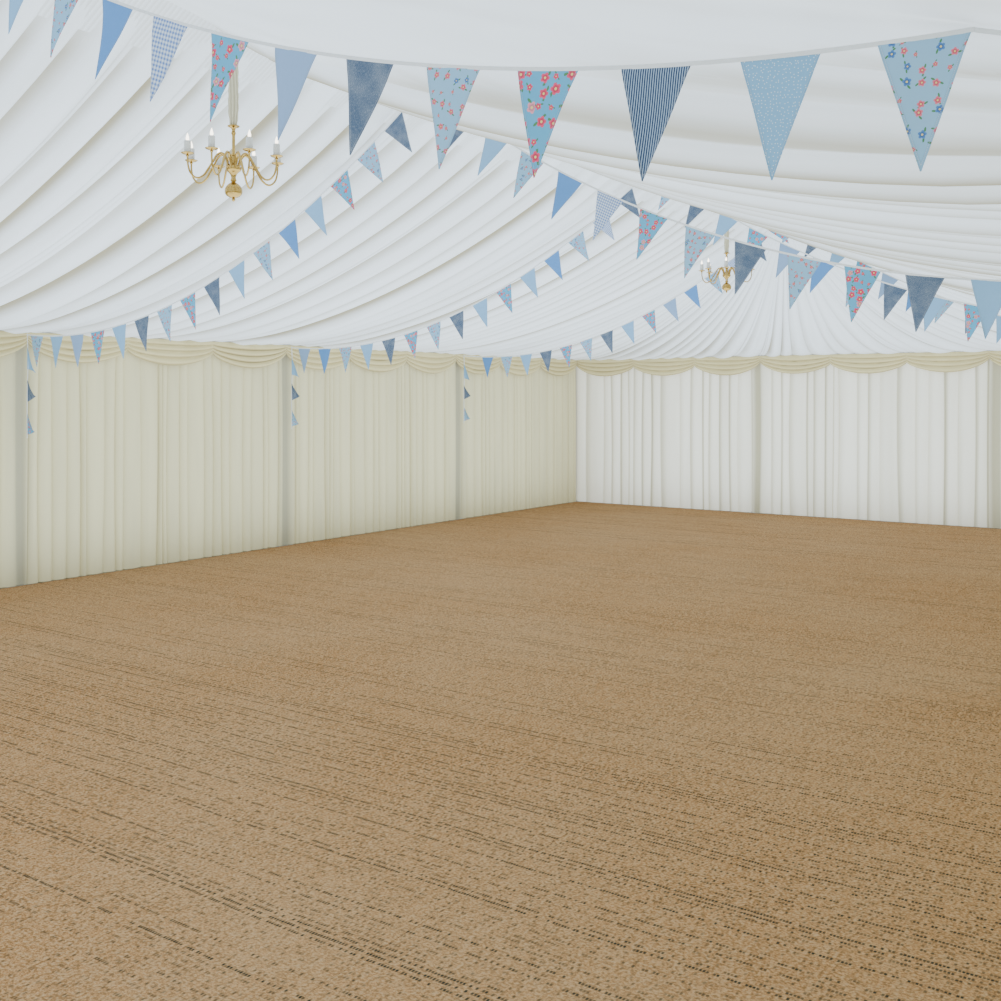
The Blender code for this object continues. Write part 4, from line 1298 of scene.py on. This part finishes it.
PIN_CORNER = 0.105
HEM_FACE = 0.0042
EYELET_MARGIN = 0.12
EYELET_BORE, EYELET_WIRE = 0.0085, 0.0024
MATTING_LENGTHS = 4
MATTING_TOP, MATTING_FOOT = 0.0100, 0.0004


class MARQUEE_OT_finish_frame(bpy.types.Operator):
    """Give the frame its extruded aluminium finish, its base plate pins and the covers' eyelets"""

    bl_idname = "marquee.finish_frame"
    bl_label = "Finish the frame"

    def execute(self, context):
        settings = context.scene.marquee_frame
        finish = Finish("extruded_aluminium", metallic=1.0)
        vector = finish.coordinates("Object")
        grain = finish.noise(vector, 45.0, 3.0, (6.0, 6.0, 0.3))
        worn = finish.between(finish.noise(vector, 9.0, 5.0), 0.55, 0.72)
        finish.set("Base Color", finish.mix(worn * 0.5, settings.colour, dimmed(settings.colour, 0.72)))
        finish.set("Roughness", 0.30 + grain * 0.12 + worn * 0.22)
        finish.relief(grain, 0.0006, 0.4)
        for name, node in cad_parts.items():
            if name.startswith(("portal_", "end_frame_", "hip_rafters_", "ridge_beam", "eave_purlin_")):
                for slot in node.material_slots:
                    slot.material = finish.material
        self.pins(finish.material)
        self.eyelets(settings, finish.material)
        return {"FINISHED"}

    def pins(self, material):
        """Steel pins through the corners of each base plate."""
        pin = turned_piece("one_pin", PIN, 16, material, (PIN_CORNER, 0.0, 0.0))
        plates = [(x, y) for x in (-FOOT_X, FOOT_X) for y in (*PORTALS, -END_Y, END_Y)]
        plates += [(x, y) for x in POSTS for y in (-END_Y, END_Y)]
        sets = [copies_of("pins", pin, 4, math.pi / 4, (x, y, 0.0), material) for x, y in plates]
        bpy.data.objects.remove(pin, do_unlink=True)
        fitted(joined_copies("base_plate_pins", sets, material), "mill_aluminium")

    def eyelets(self, settings, material):
        """Eyelets for the ground pegs, in the hem at the foot of each wall cover."""
        turns, sides = 20, 8
        around = (np.arange(turns) * math.tau / turns)[:, None]
        section = np.arange(sides) * math.tau / sides
        out = EYELET_BORE + EYELET_WIRE * np.cos(section)
        flat = EYELET_WIRE * 0.6 * np.sin(section)
        points = grid(flat, out * np.cos(around), out * np.sin(around)).reshape(-1, 3)
        index = np.arange(turns * sides).reshape(turns, sides)
        over, on = np.roll(index, -1, axis=1), np.roll(index, -1, axis=0)
        faces = grid(index, over, np.roll(over, -1, axis=0), on).reshape(-1, 4)
        eyelet = new_piece("one_eyelet", points, faces, materials=[material], crease=60)
        sets = []
        for name, side in WALLS.items():
            start, end, inner, _, foot, _ = wall_of(f"wall_cover_{name}", side)
            face, height = inner + sum(side) * HEM_FACE, foot + settings.eyelet_height
            run = end - start - 2 * EYELET_MARGIN
            count = round(run / settings.eyelet_pitch) + 1
            place = [float(value) for value in upright(side, start + EYELET_MARGIN, face, height)]
            move = [float(value) for value in upright(side, run / (count - 1), 0.0, 0.0)]
            turn = 0.0 if side[0] else math.pi / 2
            sets.append(copies_of("eyelets", eyelet, count, turn, place, material, move, 0.0))
        bpy.data.objects.remove(eyelet, do_unlink=True)
        fitted(joined_copies("wall_eyelets", sets, material), "mill_aluminium")


def coir_finish(settings):
    """Woven coir: rows of knots across the tent, each knot with its own tone, flecked with dark yarn, with
    painted shade in the gap between one row and the next.
    """
    finish = Finish("coir_matting_weave", roughness=0.95)
    finish.set("Specular IOR Level", 0.0)
    vector = finish.coordinates("Object")
    x, y, _ = finish.parts(vector)
    drift = finish.noise(vector, 1.3, 2.0) * 0.045 + finish.noise(vector, 20.0, 2.0) * 0.007
    rows = (y + drift) / settings.row
    within, number = rows.math("FRACT"), rows.math("FLOOR")
    chance = finish.node("ShaderNodeTexWhiteNoise", {"noise_dimensions": "1D"}, {"W": number}, "Value")
    line = finish.between((within - 0.5).math("ABSOLUTE"), 0.34, 0.12)
    knots = x / 0.0105 + chance * 7.3 + drift * 30
    cell = finish.node("ShaderNodeCombineXYZ", {}, {"X": knots.math("FLOOR"), "Y": number}, "Vector")
    draw = finish.node("ShaderNodeTexWhiteNoise", {"noise_dimensions": "2D"}, {"Vector": cell}, "Color")
    dark, tone, reach = finish.parts(draw)
    knot = finish.between((knots.math("FRACT") - 0.5).math("ABSOLUTE"), 0.52, 0.22)
    faint = finish.noise(vector, 2.6, 4.0, (0.7, 2.0, 1.0))
    strong = finish.between(chance, 0.60, 0.95)
    often = 0.30 + strong * 0.45 + (faint - 0.5) * 1.2
    fleck = line * knot * finish.between(often - dark, -0.02, 0.06) * (0.5 + reach * 0.3 + strong * 0.4)
    fibre = finish.noise(vector, 330.0, 2.0, (0.5, 1.0, 1.0))
    strands = finish.noise(vector, 95.0, 3.0, (1.0, 1.1, 1.0))
    broad = finish.noise(vector, 0.6, 4.0)
    light_coir = [min(1.0, c * 1.55 + 0.01) for c in settings.coir]
    dark_coir = dimmed(settings.coir, 0.40)
    finish.set("Base Color", finish.layered(
        dimmed(settings.coir, 0.60),
        (finish.between(fibre, 0.30, 0.70), light_coir),
        (finish.between(tone, 0.5, 0.9) * 0.3, settings.straw),
        (finish.between(tone, 0.45, 0.1) * 0.25, dark_coir),
        (finish.between(strands, 0.52, 0.64) * 0.6, settings.straw),
        (finish.between(strands, 0.49, 0.37) * 0.7, dark_coir),
        (finish.between(broad, 0.35, 0.7) * 0.25, settings.straw),
        # Painted shade in the gap between one row and the next.
        (finish.between(within, 0.80, 1.0) * 0.20, dark_coir),
        (fleck * 0.9, settings.fleck),
    ))
    finish.relief(fibre * 0.0022 + strands * 0.0016, 1.0, 0.9)
    return finish.material


class MARQUEE_OT_lay_matting(bpy.types.Operator):
    """Lay the coir matting in four lengths side by side"""

    bl_idname = "marquee.lay_matting"
    bl_label = "Lay the matting"

    def execute(self, context):
        low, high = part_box("coir_matting")
        rng = np.random.default_rng(170)
        parts, gap = [], 0.0007
        width = (high.x - low.x) / MATTING_LENGTHS
        y = np.linspace(low.y, high.y, 90)[:, None]
        for k in range(MATTING_LENGTHS):
            x = np.linspace(low.x + width * k + gap, low.x + width * (k + 1) - gap, 26)
            a, b = rng.uniform(0, 6.28, 2)
            near = np.minimum(x - x[0], x[-1] - x)
            swell = 0.0010 * np.sin(x * 3.1 + y * 1.3 + a) + 0.0008 * np.sin(x * 7.7 - y * 2.1 + b)
            front = grid(x, y, MATTING_TOP + swell * smooth(0.0, 0.1, near))
            back = grid(x, y, MATTING_FOOT)
            parts.append((*shell_data(front, back, grid(x, y)), 0))
        piece = joined("matting_lengths", parts, [coir_finish(context.scene.marquee_frame)])
        fitted(piece, "coir", "coir_matting")
        sheet_of(piece, high.x - low.x, high.y - low.y, "laid", [])
        return {"FINISHED"}


# ---------------------------------------------------------------- stage
FLOOR_REACH, FLOOR_Z = 60.0, -0.003
LAMP_SIZE, LAMP_Z = (7.6, 13.8), 0.03
CAMERA_PLACE = (4.2525, -6.7317, 1.593)
CAMERA_TURN = 35.16
LENS, LENS_SHIFT = 39.77, -0.10516


class StageSettings(bpy.types.PropertyGroup):
    ceiling_light: FloatProperty(
        name="Light up", description="Light thrown up at the lining", default=950.0, unit="POWER"
    )
    sky: FloatProperty(name="Sky", description="Brightness of the darker side", default=0.30)
    sky_bright: FloatProperty(name="Bright sky", description="Brightness of the light side", default=2.7)
    sky_side: FloatVectorProperty(
        name="Light side", description="Where the light comes from", default=(-0.50, -0.62, 0.60)
    )


class MARQUEE_OT_set_stage(bpy.types.Operator):
    """Set the pale floor, the soft light and the camera in the near right corner"""

    bl_idname = "marquee.set_stage"
    bl_label = "Set the stage"

    def execute(self, context):
        settings = context.scene.marquee_stage
        self.floor()
        self.soft_sky(settings)
        lamp = bpy.data.lights.new("lining_light", "AREA")
        lamp.shape = "RECTANGLE"
        lamp.size, lamp.size_y = LAMP_SIZE
        lamp.energy = settings.ceiling_light
        lamp.color = (0.80, 0.92, 1.0)
        lamp.cycles.max_bounces = 1
        light = bpy.data.objects.new("lining_light", lamp)
        light.location = (0, 0, LAMP_Z)
        light.rotation_euler = (math.pi, 0, 0)
        light.visible_camera = False
        lens = bpy.data.cameras.new("corner_camera")
        lens.sensor_width = 36.0
        lens.lens = LENS
        lens.shift_y = LENS_SHIFT
        lens.clip_start = 0.02
        lens.clip_end = 200.0
        camera = bpy.data.objects.new("corner_camera", lens)
        camera.location = CAMERA_PLACE
        camera.rotation_euler = (math.pi / 2, 0.0, math.radians(CAMERA_TURN))
        for made in (light, camera):
            context.scene.collection.objects.link(made)
        context.scene.camera = camera
        return {"FINISHED"}

    def floor(self):
        finish = Finish("pale_floor", roughness=0.85)
        speck = finish.noise(finish.coordinates("Object"), 6.0, 4.0)
        finish.set("Base Color", finish.mix(speck, (0.50, 0.50, 0.49), (0.54, 0.54, 0.53)))
        square = ((-1, -1), (1, -1), (1, 1), (-1, 1))
        corners = [(x * FLOOR_REACH, y * FLOOR_REACH, FLOOR_Z) for x, y in square]
        new_piece("studio_floor", corners, [[0, 1, 2, 3]], materials=[finish.material])

    def soft_sky(self, settings):
        """Surroundings that are brighter towards one side, so that no lamp is needed outside."""
        world = bpy.data.worlds.new("soft_surround")
        world.use_nodes = True
        world.cycles.sampling_method = "NONE"
        nodes = Nodes(world.node_tree)
        backdrop = world.node_tree.nodes["Background"]
        backdrop.inputs["Color"].default_value = (0.93, 0.95, 1.0, 1.0)
        towards = nodes.vector("DOT_PRODUCT", nodes.coordinates("Generated"), settings.sky_side, "Value")
        strength = nodes.node(
            "ShaderNodeMapRange", {"interpolation_type": "SMOOTHSTEP"},
            enumerate((towards, -0.4, 1.0, settings.sky, settings.sky_bright)),
        )
        world.node_tree.links.new(strength.socket, backdrop.inputs["Strength"])
        bpy.context.scene.world = world


# ---------------------------------------------------------------- add-on
GROUPS = {
    "marquee_lining": LiningSettings,
    "marquee_walls": WallSettings,
    "marquee_swags": SwagSettings,
    "marquee_bunting": BuntingSettings,
    "marquee_chandeliers": ChandelierSettings,
    "marquee_covers": CoverSettings,
    "marquee_frame": FrameSettings,
    "marquee_stage": StageSettings,
}
OPERATORS = (
    MARQUEE_OT_set_stage,
    MARQUEE_OT_line_roof,
    MARQUEE_OT_hang_curtains,
    MARQUEE_OT_drape_swags,
    MARQUEE_OT_hang_bunting,
    MARQUEE_OT_hang_chandeliers,
    MARQUEE_OT_sleeve_chains,
    MARQUEE_OT_fit_covers,
    MARQUEE_OT_finish_frame,
    MARQUEE_OT_lay_matting,
)


class MARQUEE_PT_dressing(bpy.types.Panel):
    """Sizes, colours and steps of the marquee's dressing"""

    bl_idname = "MARQUEE_PT_dressing"
    bl_label = "Marquee dressing"
    bl_space_type = "VIEW_3D"
    bl_region_type = "UI"
    bl_category = "Marquee"

    def draw(self, context):
        for operator_class in OPERATORS:
            self.layout.operator(operator_class.bl_idname)
        for name, group in GROUPS.items():
            box = self.layout.box()
            for field in group.__annotations__:
                box.prop(getattr(context.scene, name), field)


CLASSES = (*GROUPS.values(), *OPERATORS, MARQUEE_PT_dressing)


def register():
    for cls in CLASSES:
        bpy.utils.register_class(cls)
    for name, group in GROUPS.items():
        setattr(bpy.types.Scene, name, PointerProperty(type=group))


def unregister():
    for name in GROUPS:
        delattr(bpy.types.Scene, name)
    for cls in reversed(CLASSES):
        bpy.utils.unregister_class(cls)


def main():
    register()
    for operator_class in OPERATORS:
        space, name = operator_class.bl_idname.split(".")
        getattr(getattr(bpy.ops, space), name)()


if __name__ == "__main__":
    main()
